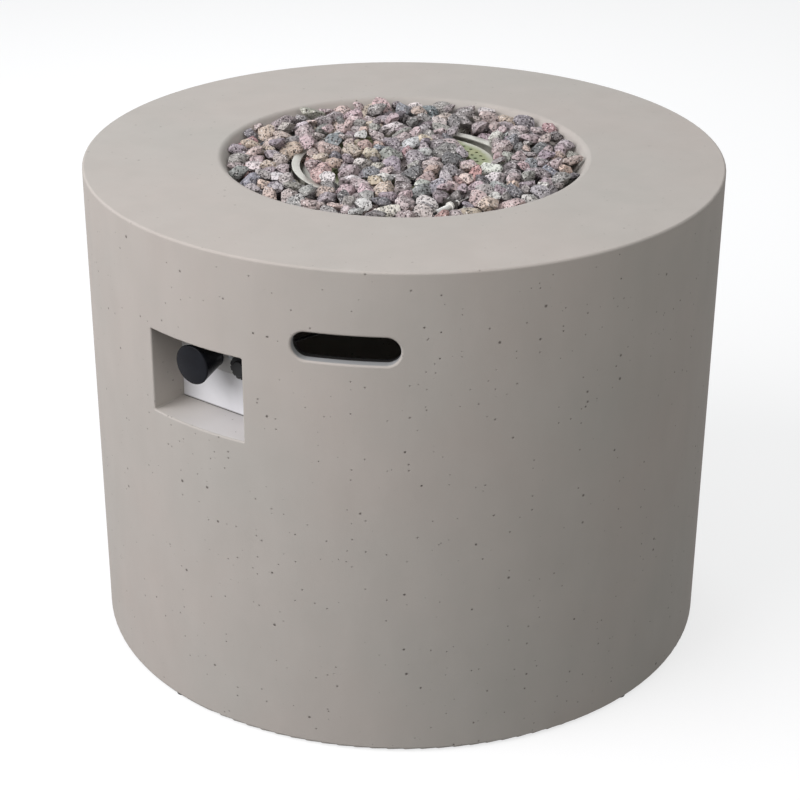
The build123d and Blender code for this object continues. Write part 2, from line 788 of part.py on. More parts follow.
with BuildPart() as valve_screws:
    with BuildSketch(plate_face):
        with Locations((knob_x - valve_screw_spread, knob_rise), (knob_x + valve_screw_spread, knob_rise)):
            Circle(valve_head_radius)
    extrude(amount=valve_head_height)
    with BuildSketch(plate_face):
        with Locations((knob_x - valve_screw_spread, knob_rise), (knob_x + valve_screw_spread, knob_rise)):
            Circle(valve_screw_radius)
    extrude(amount=-valve_screw_length)
    with BuildSketch(plate_face.offset(valve_head_height)):
        with Locations((knob_x - valve_screw_spread, knob_rise), (knob_x + valve_screw_spread, knob_rise)):
            RegularPolygon(valve_screw_radius, 6)
    extrude(amount=-valve_head_height / 2, mode=Mode.SUBTRACT)
keep(valve_screws, "valve_screws")

# Stem: a D-shaft in the knob, round in the bonnet, with a collar that keeps it in the chamber
collar_front = chamber_front + seat_gap
stem_tip = knob_clear + knob_bore_depth - seat_gap
with BuildPart() as valve_stem:
    with BuildSketch(plate_face.offset(-collar_front - stem_collar_length)):
        with Locations((knob_x, knob_rise)):
            Circle(stem_collar_radius)
    extrude(amount=stem_collar_length)
    with BuildSketch(plate_face.offset(-collar_front)):
        with Locations((knob_x, knob_rise)):
            Circle(stem_radius)
    extrude(amount=collar_front + knob_clear)
    with BuildSketch(plate_face.offset(knob_clear)):
        with Locations((knob_x, knob_rise)):
            Circle(stem_radius)
        with Locations((knob_x, knob_rise + stem_flat + stem_radius)):
            Rectangle(2 * stem_radius, 2 * stem_radius, mode=Mode.SUBTRACT)
    extrude(amount=stem_tip - knob_clear)
keep(valve_stem, "valve_stem")

# Knob: black, wider to the front, with a shallow dome on its face
knob_rim = knob_reach - knob_dome
with BuildPart() as control_knob:
    with BuildSketch(turned(knob_x, knob_z)):
        with BuildLine():
            Line((0, knob_clear), (knob_back_radius, knob_clear))
            flare_start = (knob_back_radius, knob_clear + knob_edge)
            flare_end = (knob_face_radius, knob_rim - knob_edge)
            edge_cut = knob_edge * (1 - cos(pi / 4))
            Line((knob_back_radius, knob_clear), flare_start)
            Line(flare_start, flare_end)
            ThreePointArc(
                flare_end,
                (knob_face_radius - edge_cut, knob_rim - edge_cut),
                (knob_face_radius - knob_edge, knob_rim),
            )
            TangentArc((0, knob_reach), (knob_face_radius - knob_edge, knob_rim), tangent=(1, 0))
            Line((0, knob_reach), (0, knob_clear))
        make_face()
    revolve(axis=control_axis(knob_x, knob_z))
    with BuildSketch(plate_face.offset(knob_clear)):
        with Locations((knob_x, knob_rise)):
            Circle(stem_radius + fit_gap)
        with Locations((knob_x, knob_rise + stem_flat + fit_gap + stem_radius)):
            Rectangle(3 * stem_radius, 2 * stem_radius, mode=Mode.SUBTRACT)
    extrude(amount=knob_bore_depth, mode=Mode.SUBTRACT)
keep(control_knob, "control_knob")

# Plunger that the stem pushes, and its spring against the magnet unit
plunger_front = collar_front + stem_collar_length + seat_gap
plunger_back = plunger_front + plunger_length
with BuildPart() as valve_plunger:
    with BuildSketch(plate_face.offset(-plunger_back)):
        with Locations((knob_x, knob_rise)):
            Circle(chamber_radius - run_gap)
    extrude(amount=plunger_length)
keep(valve_plunger, "valve_plunger")

with BuildPart() as magnet_unit:
    with BuildSketch(plate_face.offset(-plate_thickness - valve_depth)):
        with Locations((knob_x, knob_rise)):
            Circle(chamber_radius + magnet_flange)
    extrude(amount=-magnet_length)
    with BuildSketch(plate_face.offset(-plate_thickness - valve_depth)):
        with Locations((knob_x, knob_rise)):
            Circle(chamber_radius - fit_gap)
    extrude(amount=plate_thickness + valve_depth - chamber_end)
keep(magnet_unit, "magnet_unit")


plunger_coil_length = chamber_end - plunger_back - 2 * plunger_wire_radius - 2 * seat_gap
plunger_coil_start = Vector(knob_x, plate_y + chamber_end - plunger_wire_radius - seat_gap, knob_z)
with BuildPart() as plunger_spring:
    with BuildLine() as plunger_coil:
        for first, last, leave in coil_arcs(
            plunger_coil_start, plunger_coil_radius, plunger_coil_length, plunger_turns
        ):
            TangentArc(first, last, tangent=leave)
    with BuildSketch(Plane(origin=plunger_coil.line @ 0, z_dir=plunger_coil.line % 0)):
        Circle(plunger_wire_radius)
    sweep(path=plunger_coil.line)
keep(plunger_spring, "plunger_spring")

# Gas inlet: a male fitting that points down for the supply hose
with BuildPart() as gas_inlet:
    with BuildSketch(Plane.XY.offset(valve_foot_z - inlet_hex_height)):
        with Locations((knob_x, valve_middle_y)):
            RegularPolygon(hex_radius(inlet_hex), 6)
    extrude(amount=inlet_hex_height)
    with BuildSketch(Plane.XY.offset(valve_foot_z)):
        with Locations((knob_x, valve_middle_y)):
            Circle(inlet_spigot_radius)
    extrude(amount=inlet_spigot_length)
    with BuildSketch(Plane.XY.offset(valve_foot_z - inlet_hex_height)):
        with Locations((knob_x, valve_middle_y)):
            Circle(inlet_radius)
    extrude(amount=-inlet_length)
    with BuildSketch(Plane.XY.offset(valve_foot_z - inlet_hex_height - inlet_length)):
        with Locations((knob_x, valve_middle_y)):
            Circle(gas_way_radius)
    extrude(amount=inlet_length + inlet_hex_height + inlet_spigot_length, mode=Mode.SUBTRACT)
keep(gas_inlet, "gas_inlet")

# Push igniter: a barrel through the plate with a notched bezel, a nut behind, a battery and a sprung button
button_bore = button_radius + run_gap
battery_front = button_bore_floor + seat_gap + battery_nub_length
battery_end = battery_front + battery_length + seat_gap
barrel_length = battery_end + barrel_end
with BuildPart() as igniter_housing:
    with BuildSketch(turned(igniter_x, igniter_z)):
        with BuildLine():
            Polyline(
                (button_bore, bezel_height),
                (bezel_radius, bezel_height),
                (bezel_radius, 0),
                (barrel_radius, 0),
                (barrel_radius, -barrel_length),
                (0, -barrel_length),
                (0, -battery_end),
                (battery_radius + battery_gap, -battery_end),
                (battery_radius + battery_gap, -button_bore_floor),
                (button_bore, -button_bore_floor),
                close=True,
            )
        make_face()
    revolve(axis=control_axis(igniter_x, igniter_z))
    with BuildSketch(plate_face.offset(bezel_height)):
        with Locations((igniter_x, igniter_rise)):
            with PolarLocations(bezel_radius, bezel_notches):
                Circle(bezel_notch_radius)
    extrude(amount=-bezel_height / 2, mode=Mode.SUBTRACT)
keep(igniter_housing, "igniter_housing")

with BuildPart() as igniter_nut:
    with BuildSketch(plate_face.offset(-plate_thickness)):
        with Locations((igniter_x, igniter_rise)):
            RegularPolygon(hex_radius(2 * (barrel_radius + igniter_nut_wall)), 6)
            Circle(barrel_radius + fit_gap, mode=Mode.SUBTRACT)
    extrude(amount=-igniter_nut_height)
keep(igniter_nut, "igniter_nut")

button_back = bezel_height + button_push - button_length
with BuildPart() as igniter_button:
    with BuildSketch(plate_face.offset(button_back)):
        with Locations((igniter_x, igniter_rise)):
            Circle(button_radius)
    extrude(amount=button_length)
    fillet(edges().group_by(Axis.Y)[0], radius=button_edge)
keep(igniter_button, "igniter_button")

button_coil_radius = button_radius - 2 * button_wire_radius
button_coil_length = button_bore_floor + button_back - 2 * button_wire_radius - 2 * seat_gap
button_coil_foot_y = plate_y + button_bore_floor - button_wire_radius - seat_gap
button_coil_start = Vector(igniter_x, button_coil_foot_y, igniter_z)
with BuildPart() as button_spring:
    with BuildLine() as button_coil:
        for first, last, leave in coil_arcs(
            button_coil_start, button_coil_radius, button_coil_length, button_turns
        ):
            TangentArc(first, last, tangent=leave)
    with BuildSketch(Plane(origin=button_coil.line @ 0, z_dir=button_coil.line % 0)):
        Circle(button_wire_radius)
    sweep(path=button_coil.line)
keep(button_spring, "button_spring")

with BuildPart() as battery:
    with BuildSketch(plate_face.offset(-battery_front)):
        with Locations((igniter_x, igniter_rise)):
            Circle(battery_radius)
    extrude(amount=-battery_length)
    with BuildSketch(plate_face.offset(-battery_front)):
        with Locations((igniter_x, igniter_rise)):
            Circle(battery_nub_radius)
    extrude(amount=battery_nub_length)
keep(battery, "battery")

# Spark electrode: a ceramic sleeve in the bracket, with the rod hooked over the burner's edge
def across_at(y):
    """Plane square to +Y through the electrode and the probe: x to +X, y down."""
    return Plane(origin=(0, y, electrode_z), x_dir=(1, 0, 0), z_dir=(0, 1, 0))


with BuildPart() as electrode_ceramic:
    with BuildSketch(across_at(ceramic_rear_y)):
        with Locations((electrode_x, 0)):
            Circle(ceramic_radius)
    extrude(amount=ceramic_length)
    with BuildSketch(across_at(bracket_y - ceramic_collar_length)):
        with Locations((electrode_x, 0)):
            Circle(ceramic_radius + ceramic_collar)
    extrude(amount=ceramic_collar_length)
    with BuildSketch(across_at(ceramic_tip_y)):
        with Locations((electrode_x, 0)):
            Circle(rod_radius + fit_gap)
    extrude(amount=-rod_inside, mode=Mode.SUBTRACT)
keep(electrode_ceramic, "electrode_ceramic")

rod_start = (electrode_x, ceramic_tip_y - rod_inside + seat_gap, electrode_z)
rod_corner = (electrode_x, ceramic_tip_y + rod_reach, electrode_z)
rod_tip = (electrode_x + rod_hook_x, rod_corner[1] + rod_hook_y, electrode_z)
with BuildPart() as electrode_rod:
    with BuildLine() as rod_line:
        FilletPolyline(rod_start, rod_corner, rod_tip, radius=rod_bend)
    with BuildSketch(Plane(origin=rod_start, x_dir=(1, 0, 0), z_dir=(0, 1, 0))):
        Circle(rod_radius)
    sweep(path=rod_line.line)
keep(electrode_rod, "electrode_rod")

# Flame probe beside the electrode
probe_rear_y = bracket_y - probe_back
probe_tip_y = bracket_y + probe_front
with BuildPart() as thermocouple_probe:
    with BuildSketch(across_at(probe_rear_y)):
        with Locations((probe_x, 0)):
            Circle(probe_radius)
    extrude(amount=probe_tip_y - probe_rear_y)
    fillet(edges().group_by(Axis.Y)[-1], radius=probe_radius / 2)
keep(thermocouple_probe, "thermocouple_probe")

# Bracket: a pad screwed to the bowl's flange, with an upright that both pass through
bracket_outer_x = bracket_screw_x + bracket_pad / 2
bracket_inner_x = probe_x - bracket_margin
with BuildPart() as ignition_bracket:
    with BuildSketch(Plane.XY.offset(flange_z)):
        with Locations((bracket_screw_x, bracket_screw_y)):
            Rectangle(bracket_pad, bracket_pad)
            Circle(bracket_screw_radius + fit_gap, mode=Mode.SUBTRACT)
    extrude(amount=bracket_sheet)
    with BuildSketch(across_at(bracket_y)):
        with Locations(((bracket_inner_x + bracket_outer_x) / 2, electrode_rise - bracket_height / 2)):
            Rectangle(bracket_outer_x - bracket_inner_x, bracket_height)
        with Locations((bracket_outer_x, electrode_rise - bracket_height)):
            Rectangle(
                2 * (bracket_screw_gap + bracket_pad / 2 - bracket_cheek),
                2 * (bracket_height - bracket_shoulder),
                mode=Mode.SUBTRACT,
            )
        with Locations((electrode_x, 0)):
            Circle(ceramic_radius + fit_gap, mode=Mode.SUBTRACT)
        with Locations((probe_x, 0)):
            Circle(probe_radius + fit_gap, mode=Mode.SUBTRACT)
    extrude(amount=bracket_sheet)
keep(ignition_bracket, "ignition_bracket")

with BuildPart() as bracket_screw:
    with BuildSketch(Plane.XY.offset(flange_z + bracket_sheet)):
        with Locations((bracket_screw_x, bracket_screw_y)):
            Circle(bracket_head_radius)
    extrude(amount=bracket_head_height)
    with BuildSketch(Plane.XY.offset(flange_z + bracket_sheet)):
        with Locations((bracket_screw_x, bracket_screw_y)):
            Circle(bracket_screw_radius)
    extrude(amount=-bracket_screw_length)
    with BuildSketch(Plane.XY.offset(flange_z + bracket_sheet + bracket_head_height)):
        with Locations((bracket_screw_x, bracket_screw_y)):
            RegularPolygon(bracket_screw_radius, 6)
    extrude(amount=-bracket_head_height / 2, mode=Mode.SUBTRACT)
keep(bracket_screw, "bracket_screw")

with BuildPart() as bracket_nut:
    with BuildSketch(Plane.XY.offset(ledge_z)):
        with Locations((bracket_screw_x, bracket_screw_y)):
            RegularPolygon(hex_radius(bracket_nut_hex), 6)
            Circle(bracket_screw_radius + fit_gap, mode=Mode.SUBTRACT)
    extrude(amount=-bracket_nut_height)
keep(bracket_nut, "bracket_nut")

# Grommets where the two leads pass the flange
lead_places = ((electrode_x, electrode_hole_y, lead_radius), (probe_x, probe_hole_y, capillary_radius))
with BuildPart() as lead_grommets:
    for x, y, thread_radius in lead_places:
        for level, height, radius in (
            (ledge_z - grommet_lip_height, grommet_lip_height, grommet_radius + grommet_lip),
            (ledge_z, bowl_sheet, grommet_radius),
            (flange_z, grommet_lip_height, grommet_radius + grommet_lip),
        ):
            with BuildSketch(Plane.XY.offset(level)):
                with Locations((x, y)):
                    Circle(radius)
                    Circle(thread_radius + fit_gap, mode=Mode.SUBTRACT)
            extrude(amount=height)
keep(lead_grommets, "lead_grommets")

# Leads from the bowl's flange down to the controls
igniter_rear_y = plate_y + barrel_length
magnet_rear_y = valve_rear_y + magnet_length
thermocouple_nut_end_y = magnet_rear_y + thermocouple_nut_length
lead_drop_z = collar_z - cavity_fillet
ignition_arrival = (igniter_x, igniter_rear_y + lead_straight, igniter_z)
capillary_arrival = (knob_x, thermocouple_nut_end_y + lead_straight, knob_z)
ignition_route = [
    (electrode_x, ceramic_rear_y, electrode_z),
    (electrode_x, electrode_hole_y, electrode_z),
    (electrode_x, electrode_hole_y, lead_drop_z),
    *hanging((electrode_x, electrode_hole_y, lead_drop_z), ignition_arrival),
    ignition_arrival,
    (igniter_x, igniter_rear_y, igniter_z),
]
capillary_route = [
    (probe_x, probe_rear_y, electrode_z),
    (probe_x, probe_hole_y, electrode_z),
    (probe_x, probe_hole_y, lead_drop_z),
    *hanging((probe_x, probe_hole_y, lead_drop_z), capillary_arrival),
    capillary_arrival,
    (knob_x, magnet_rear_y, knob_z),
]
with BuildPart() as ignition_lead:
    with BuildLine() as ignition_line:
        FilletPolyline(*ignition_route, radius=[lead_bend] + run_radii(ignition_route)[1:])
    with BuildSketch(Plane(origin=ignition_route[0], x_dir=(1, 0, 0), z_dir=(0, -1, 0))):
        Circle(lead_radius)
    sweep(path=ignition_line.line)
keep(ignition_lead, "ignition_lead")

with BuildPart() as thermocouple_lead:
    with BuildLine() as capillary_line:
        FilletPolyline(*capillary_route, radius=[lead_bend] + run_radii(capillary_route)[1:])
    with BuildSketch(Plane(origin=capillary_route[0], x_dir=(1, 0, 0), z_dir=(0, -1, 0))):
        Circle(capillary_radius)
    sweep(path=capillary_line.line)
keep(thermocouple_lead, "thermocouple_lead")

with BuildPart() as thermocouple_nut:
    with BuildSketch(Plane(origin=(knob_x, magnet_rear_y, knob_z), x_dir=(1, 0, 0), z_dir=(0, 1, 0))):
        RegularPolygon(hex_radius(thermocouple_nut_hex), 6)
        Circle(capillary_radius + fit_gap, mode=Mode.SUBTRACT)
    extrude(amount=thermocouple_nut_length)
keep(thermocouple_nut, "thermocouple_nut")

# Lower stones: two lumped rings that fill the bowl on each side of the burner and fall away to its flange
flank_gap = 2 * bed_gap
bed_flange_z = burner_flange_z + bed_gap
bed_corner = bowl_bend + bed_gap
bed_crown_radius = burner_flat_outer + flank_gap
bed_foot_radius = burner_radius + bed_gap
with BuildPart() as lava_bed:
    with BuildSketch(Plane.XZ):
        with BuildLine():
            Polyline(
                (bed_crown_radius, bed_z),
                (burner_radius - burner_flange + flank_gap, bed_flange_z),
                (bed_foot_radius, bed_flange_z),
                (bed_foot_radius, floor_z),
                (bowl_floor_radius - bed_corner, floor_z),
                (bowl_floor_radius - bed_gap, floor_z + bed_corner),
                (bowl_wall_radius - flank_gap, flange_z),
                (bed_foot_radius, flange_z),
                close=True,
            )
        make_face()
        with BuildLine():
            Polyline(
                (0, floor_z),
                (burner_bore - bed_gap, floor_z),
                (burner_bore - bed_gap, bed_flange_z),
                (burner_bore + burner_flange - flank_gap, bed_flange_z),
                (burner_flat_inner - flank_gap, bed_z),
                (0, bed_z),
                close=True,
            )
        make_face()
    revolve(axis=Axis.Z)
keep(lava_bed, "lava_bed")


# Upper stones: flat-sided lumps set out on a sunflower spiral, clear of the electrode and the probe
def near_igniter(x, y, reach):
    for line_x, low, high in (
        (electrode_x, electrode_hole_y, rod_corner[1]),
        (probe_x, probe_hole_y, probe_tip_y),
        (bracket_screw_x, bracket_screw_y - bracket_pad / 2, bracket_y + bracket_sheet),
    ):
        beside = abs(x - line_x)
        past = max(low - y, y - high, 0)
        if hypot(beside, past) < reach + stone_clear + ceramic_radius + ceramic_collar:
            return True
    return hypot(x - rod_tip[0], y - rod_tip[1]) < reach + stone_clear + abs(rod_hook_x) / 2


def bed_level(radius):
    """Top of the lower stones at a distance from the centre."""
    fall = (radius - bed_crown_radius) / (bed_foot_radius - bed_crown_radius)
    return bed_z - bed_heap * min(max(fall, 0), 1)


def stone(x, y, reach, height, draw):
    """A lump with a flat foot, a wide waist and a smaller crown, its sides all flat."""
    seat_z = bed_level(hypot(x, y) - stone_foot * reach)
    turn = draw.uniform(0, 2 * pi)
    corners = []
    for side in range(stone_sides):
        angle = turn + 2 * pi * (side + draw.uniform(-stone_uneven_side, stone_uneven_side)) / stone_sides
        radius = reach * draw.uniform(stone_narrow, 1.0)
        corners.append((radius * cos(angle), radius * sin(angle)))
    lean_x = reach * draw.uniform(-stone_lean, stone_lean)
    lean_y = reach * draw.uniform(-stone_lean, stone_lean)
    rings = []
    for share, lift, lean in ((stone_foot, 0, 0), (1, stone_waist, 0), (stone_crown, 1, 1)):
        ring = []
        for corner_x, corner_y in corners:
            ring.append(
                Vector(
                    x + share * corner_x + lean * lean_x,
                    y + share * corner_y + lean * lean_y,
                    seat_z + lift * height,
                )
            )
        rings.append(ring)
    faces = [Face(Wire.make_polygon(rings[0])), Face(Wire.make_polygon(rings[-1]))]
    for lower, upper in zip(rings, rings[1:]):
        for side in range(stone_sides):
            after = (side + 1) % stone_sides
            faces.append(Face(Wire.make_polygon([lower[side], lower[after], upper[after], upper[side]])))
    return Solid(Shell(faces))


draw = Random(stone_seed)
stone_field = flange_radius - stone_margin  # the stones' outer edge
spiral_step = stone_field / sqrt(stone_count + 1)
golden_turn = pi * (3 - sqrt(5))
places = []
for number in range(stone_count):
    spiral_radius = spiral_step * sqrt(number + 0.5)
    places.append((spiral_radius * cos(number * golden_turn), spiral_radius * sin(number * golden_turn)))
stones = []
for x, y in places:
    others = [place for place in places if place != (x, y)]
    nearest = min(hypot(x - other_x, y - other_y) for other_x, other_y in others)
    reach = stone_fill * nearest / 2
    height = stone_height + draw.uniform(-stone_uneven, stone_uneven)
    if hypot(x, y) + reach < stone_field and not near_igniter(x, y, reach):
        stones.append(stone(x, y, reach, height, draw))
with BuildPart() as lava_rocks:
    add(stones)
keep(lava_rocks, "lava_rocks")
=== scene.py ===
from math import cos, pi, radians, sin, sqrt, tan
from random import Random

import bpy
import numpy
from mathutils import Euler, Matrix, Vector


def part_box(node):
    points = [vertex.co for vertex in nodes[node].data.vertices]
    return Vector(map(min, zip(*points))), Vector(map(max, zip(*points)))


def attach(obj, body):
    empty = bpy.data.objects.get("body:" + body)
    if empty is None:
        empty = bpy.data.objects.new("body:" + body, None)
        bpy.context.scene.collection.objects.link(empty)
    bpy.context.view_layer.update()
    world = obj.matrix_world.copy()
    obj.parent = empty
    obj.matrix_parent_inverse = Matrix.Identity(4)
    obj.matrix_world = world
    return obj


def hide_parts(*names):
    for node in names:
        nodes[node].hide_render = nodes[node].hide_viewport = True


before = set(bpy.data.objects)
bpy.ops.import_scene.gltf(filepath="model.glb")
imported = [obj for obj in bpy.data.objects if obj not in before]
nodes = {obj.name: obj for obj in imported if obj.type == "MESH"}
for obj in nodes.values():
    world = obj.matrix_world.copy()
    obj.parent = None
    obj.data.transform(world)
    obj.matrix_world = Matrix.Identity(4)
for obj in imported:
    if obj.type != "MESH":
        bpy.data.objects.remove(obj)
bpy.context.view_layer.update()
scene = bpy.context.scene
scene.view_settings.view_transform = "Standard"
bpy.ops.object.select_all(action="DESELECT")
print("frame in:", len(nodes), "nodes")


# shader helpers
def put(tree, kind, inputs=None, **settings):
    node = tree.nodes.new("ShaderNode" + kind)
    for key, value in settings.items():
        setattr(node, key, value)
    for key, value in (inputs or {}).items():
        if isinstance(value, bpy.types.NodeSocket):
            tree.links.new(value, node.inputs[key])
        else:
            node.inputs[key].default_value = value
    return node


def calc(tree, operation, *values, clamp=False):
    return put(tree, "Math", dict(enumerate(values)), operation=operation, use_clamp=clamp).outputs[0]


def remap(tree, value, low, high, toLow, toHigh):
    sockets = {"Value": value, "From Min": low, "From Max": high, "To Min": toLow, "To Max": toHigh}
    return put(tree, "MapRange", sockets).outputs[0]


def mixTone(tree, share, first, second, mode="MIX"):
    return put(tree, "Mix", {0: share, 6: first, 7: second}, data_type="RGBA", blend_type=mode).outputs[2]


def newGroup(name, inputs, outputs):
    group = bpy.data.node_groups.new(name, "ShaderNodeTree")
    for label, kind in inputs:
        group.interface.new_socket(name=label, in_out="INPUT", socket_type="NodeSocket" + kind)
    for label, kind in outputs:
        group.interface.new_socket(name=label, in_out="OUTPUT", socket_type="NodeSocket" + kind)
    return group, group.nodes.new("NodeGroupInput").outputs, group.nodes.new("NodeGroupOutput").inputs


def useGroup(tree, group, inputs):
    node = tree.nodes.new("ShaderNodeGroup")
    node.node_tree = group
    for key, value in inputs.items():
        if isinstance(value, bpy.types.NodeSocket):
            tree.links.new(value, node.inputs[key])
        else:
            node.inputs[key].default_value = value
    return node.outputs


def newFinish(name):
    finish = bpy.data.materials.new(name)
    finish.use_nodes = True
    tree = finish.node_tree
    place = put(tree, "TexCoord").outputs["Object"]
    return finish, tree, tree.nodes["Principled BSDF"], place


# round pits of mixed size, in only some of the cells
def makePits():
    tree, given, out = newGroup(
        "castPits",
        [("Vector", "Vector"), ("Scale", "Float"), ("Share", "Float"), ("Size", "Float")],
        [("Mask", "Float")],
    )
    cells = put(tree, "TexVoronoi", {"Vector": given["Vector"], "Scale": given["Scale"]})
    chance = put(tree, "SeparateColor", {"Color": cells.outputs["Color"]})
    held = calc(tree, "LESS_THAN", chance.outputs["Red"], given["Share"])
    reach = calc(tree, "MULTIPLY", given["Size"], calc(tree, "ADD", chance.outputs["Green"], 0.3))
    depth = calc(tree, "SUBTRACT", reach, cells.outputs["Distance"])
    bowl = calc(tree, "DIVIDE", depth, calc(tree, "MULTIPLY", reach, 0.6), clamp=True)
    tree.links.new(calc(tree, "MULTIPLY", bowl, held), out["Mask"])
    return tree


# soft cloudy patches from 0 to 1
def makeClouds():
    tree, given, out = newGroup("softClouds", [("Vector", "Vector"), ("Scale", "Float")], [("Factor", "Float")])
    noise = put(tree, "TexNoise", {"Vector": given["Vector"], "Scale": given["Scale"], "Detail": 5.0})
    tree.links.new(remap(tree, noise.outputs["Fac"], 0.32, 0.68, 0.0, 1.0), out["Factor"])
    return tree


# sandy grain for roughness and bump
def makeGrain():
    tree, given, out = newGroup("fineGrain", [("Vector", "Vector"), ("Scale", "Float")], [("Factor", "Float")])
    noise = put(
        tree, "TexNoise", {"Vector": given["Vector"], "Scale": given["Scale"], "Detail": 3.0, "Roughness": 0.7}
    )
    tree.links.new(remap(tree, noise.outputs["Fac"], 0.3, 0.7, 0.0, 1.0), out["Factor"])
    return tree


# a band just above a level edge, full below it: painted sill light on the concrete, painted shade along the seam at the
# foot of the plate and the label
def makeSeam():
    tree, given, out = newGroup(
        "seamDirt", [("Vector", "Vector"), ("Level", "Float"), ("Reach", "Float")], [("Mask", "Float")]
    )
    height = put(tree, "SeparateXYZ", {0: given["Vector"]}).outputs[2]
    above = calc(tree, "DIVIDE", calc(tree, "SUBTRACT", height, given["Level"]), given["Reach"])
    tree.links.new(calc(tree, "SUBTRACT", 1.0, above, clamp=True), out["Mask"])
    return tree


castPits = makePits()
softClouds = makeClouds()
fineGrain = makeGrain()
seamDirt = makeSeam()


# cast concrete
concreteLook = dict(
    warm=(0.470, 0.424, 0.388, 1),
    cool=(0.444, 0.418, 0.384, 1),
    pale=(0.500, 0.468, 0.436, 1),
    pit=(0.120, 0.106, 0.092, 1),
    cloudScale=4.5,
    trowelScale=(26.0, 26.0, 9.0),
    gatherScale=11.0,
    driftScale=3.7,
    paleShare=0.22,
    grainShare=0.6,
    shade=(0.968, 1.03),
    bigPits=dict(Scale=72.0, Size=0.135),
    bigShare=(0.08, 0.40),
    smallPits=dict(Scale=150.0, Size=0.200),
    smallShare=(0.04, 0.30),
    smallDepth=0.7,
    pitShare=0.9,
    deckBand=(0.6070, 0.6095),
    deckPits=0.35,
    grainScale=700.0,
    grainDepth=0.07,
    driftDepth=0.25,
    bumpStrength=0.6,
    bumpDepth=0.0011,
    rough=(0.74, 0.88),
    gloss=0.3,
    skin=(0.3890, 0.3865),
    recessFront=-0.33,
    # painted light: the recess sill is paled, more towards the right, to stand in for the lamp light falling on it
    paintedSillLight=(0.590, 0.566, 0.556, 1),
    sillSkin=dict(Level=0.3886, Reach=0.0010),
    sillFloor=0.3860,
    sillLightRamp=(-0.060, 0.012),
    # painted shade: the slot's walls are a darker grey-blue at the mouth and near-black further in
    slotLipShade=(0.345, 0.350, 0.352, 1),
    slotShadowTone=(0.012, 0.011, 0.011, 1),
    slotBand=(0.4990, 0.5370),
    slotFade=(0.3795, 0.3780),
)


def makeConcrete(look):
    finish, tree, shader, place = newFinish("castConcrete")
    clouds = useGroup(tree, softClouds, {"Vector": place, "Scale": look["cloudScale"]})["Factor"]
    drift = useGroup(tree, softClouds, {"Vector": place, "Scale": look["cloudScale"] * look["driftScale"]})["Factor"]
    stretched = put(tree, "Mapping", {"Vector": place, "Scale": look["trowelScale"]}).outputs[0]
    trowel = useGroup(tree, softClouds, {"Vector": stretched, "Scale": 1.0})["Factor"]
    grain = useGroup(tree, fineGrain, {"Vector": place, "Scale": look["grainScale"]})["Factor"]
    gather = useGroup(tree, softClouds, {"Vector": place, "Scale": look["gatherScale"]})["Factor"]
    bigShare = remap(tree, gather, 0.0, 1.0, *look["bigShare"])
    bigPits = useGroup(tree, castPits, {"Vector": place, "Share": bigShare, **look["bigPits"]})["Mask"]
    smallShare = remap(tree, drift, 0.0, 1.0, *look["smallShare"])
    smallPits = useGroup(tree, castPits, {"Vector": place, "Share": smallShare, **look["smallPits"]})["Mask"]
    parts = put(tree, "SeparateXYZ", {0: place}).outputs
    pits = calc(tree, "MAXIMUM", bigPits, calc(tree, "MULTIPLY", smallPits, look["smallDepth"]))
    pits = calc(tree, "MULTIPLY", pits, remap(tree, parts[2], *look["deckBand"], 1.0, look["deckPits"]))
    tone = mixTone(tree, clouds, look["warm"], look["cool"])
    tone = mixTone(tree, calc(tree, "MULTIPLY", drift, look["paleShare"]), tone, look["pale"])
    streaks = calc(tree, "ADD", trowel, calc(tree, "MULTIPLY", grain, look["grainShare"]))
    shade = remap(tree, streaks, 0.0, 1.0 + look["grainShare"], *look["shade"])
    tone = mixTone(tree, 1.0, tone, put(tree, "CombineColor", {0: shade, 1: shade, 2: shade}).outputs[0], "MULTIPLY")
    flat = put(tree, "CombineXYZ", {0: parts[0], 1: parts[1]}).outputs[0]
    radius = put(tree, "VectorMath", {0: flat}, operation="LENGTH").outputs["Value"]
    cutIn = remap(tree, radius, *look["skin"], 0.0, 1.0)
    # painted light: the sill inside the recess turns paler, brighter towards the right
    sillLightMask = useGroup(tree, seamDirt, {"Vector": place, **look["sillSkin"]})["Mask"]
    sillLightMask = calc(tree, "MULTIPLY", sillLightMask, calc(tree, "LESS_THAN", parts[1], look["recessFront"]))
    sillLightMask = calc(tree, "MULTIPLY", sillLightMask, calc(tree, "GREATER_THAN", parts[2], look["sillFloor"]))
    sillLightMask = calc(tree, "MULTIPLY", sillLightMask, remap(tree, parts[0], *look["sillLightRamp"], 0.0, 1.0))
    tone = mixTone(tree, calc(tree, "MULTIPLY", sillLightMask, cutIn), tone, look["paintedSillLight"])
    # painted shade: the slot's walls darken from the mouth inwards to near-black
    low, high = look["slotBand"]
    inSlot = calc(tree, "GREATER_THAN", parts[2], low)
    inSlot = calc(tree, "MULTIPLY", inSlot, calc(tree, "LESS_THAN", parts[2], high))
    deepIn = remap(tree, radius, *look["slotFade"], 0.0, 1.0)
    slotPaintedShade = mixTone(tree, deepIn, look["slotLipShade"], look["slotShadowTone"])
    tone = mixTone(tree, calc(tree, "MULTIPLY", inSlot, cutIn), tone, slotPaintedShade)
    tone = mixTone(tree, calc(tree, "MULTIPLY", pits, look["pitShare"]), tone, look["pit"])
    tree.links.new(tone, shader.inputs["Base Color"])
    tree.links.new(remap(tree, grain, 0.0, 1.0, *look["rough"]), shader.inputs["Roughness"])
    shader.inputs["Specular IOR Level"].default_value = look["gloss"]
    height = calc(tree, "SUBTRACT", calc(tree, "MULTIPLY", grain, look["grainDepth"]), pits)
    height = calc(tree, "ADD", height, calc(tree, "MULTIPLY", drift, look["driftDepth"]))
    bump = put(tree, "Bump", {"Strength": look["bumpStrength"], "Distance": look["bumpDepth"], "Height": height})
    tree.links.new(bump.outputs[0], shader.inputs["Normal"])
    return finish


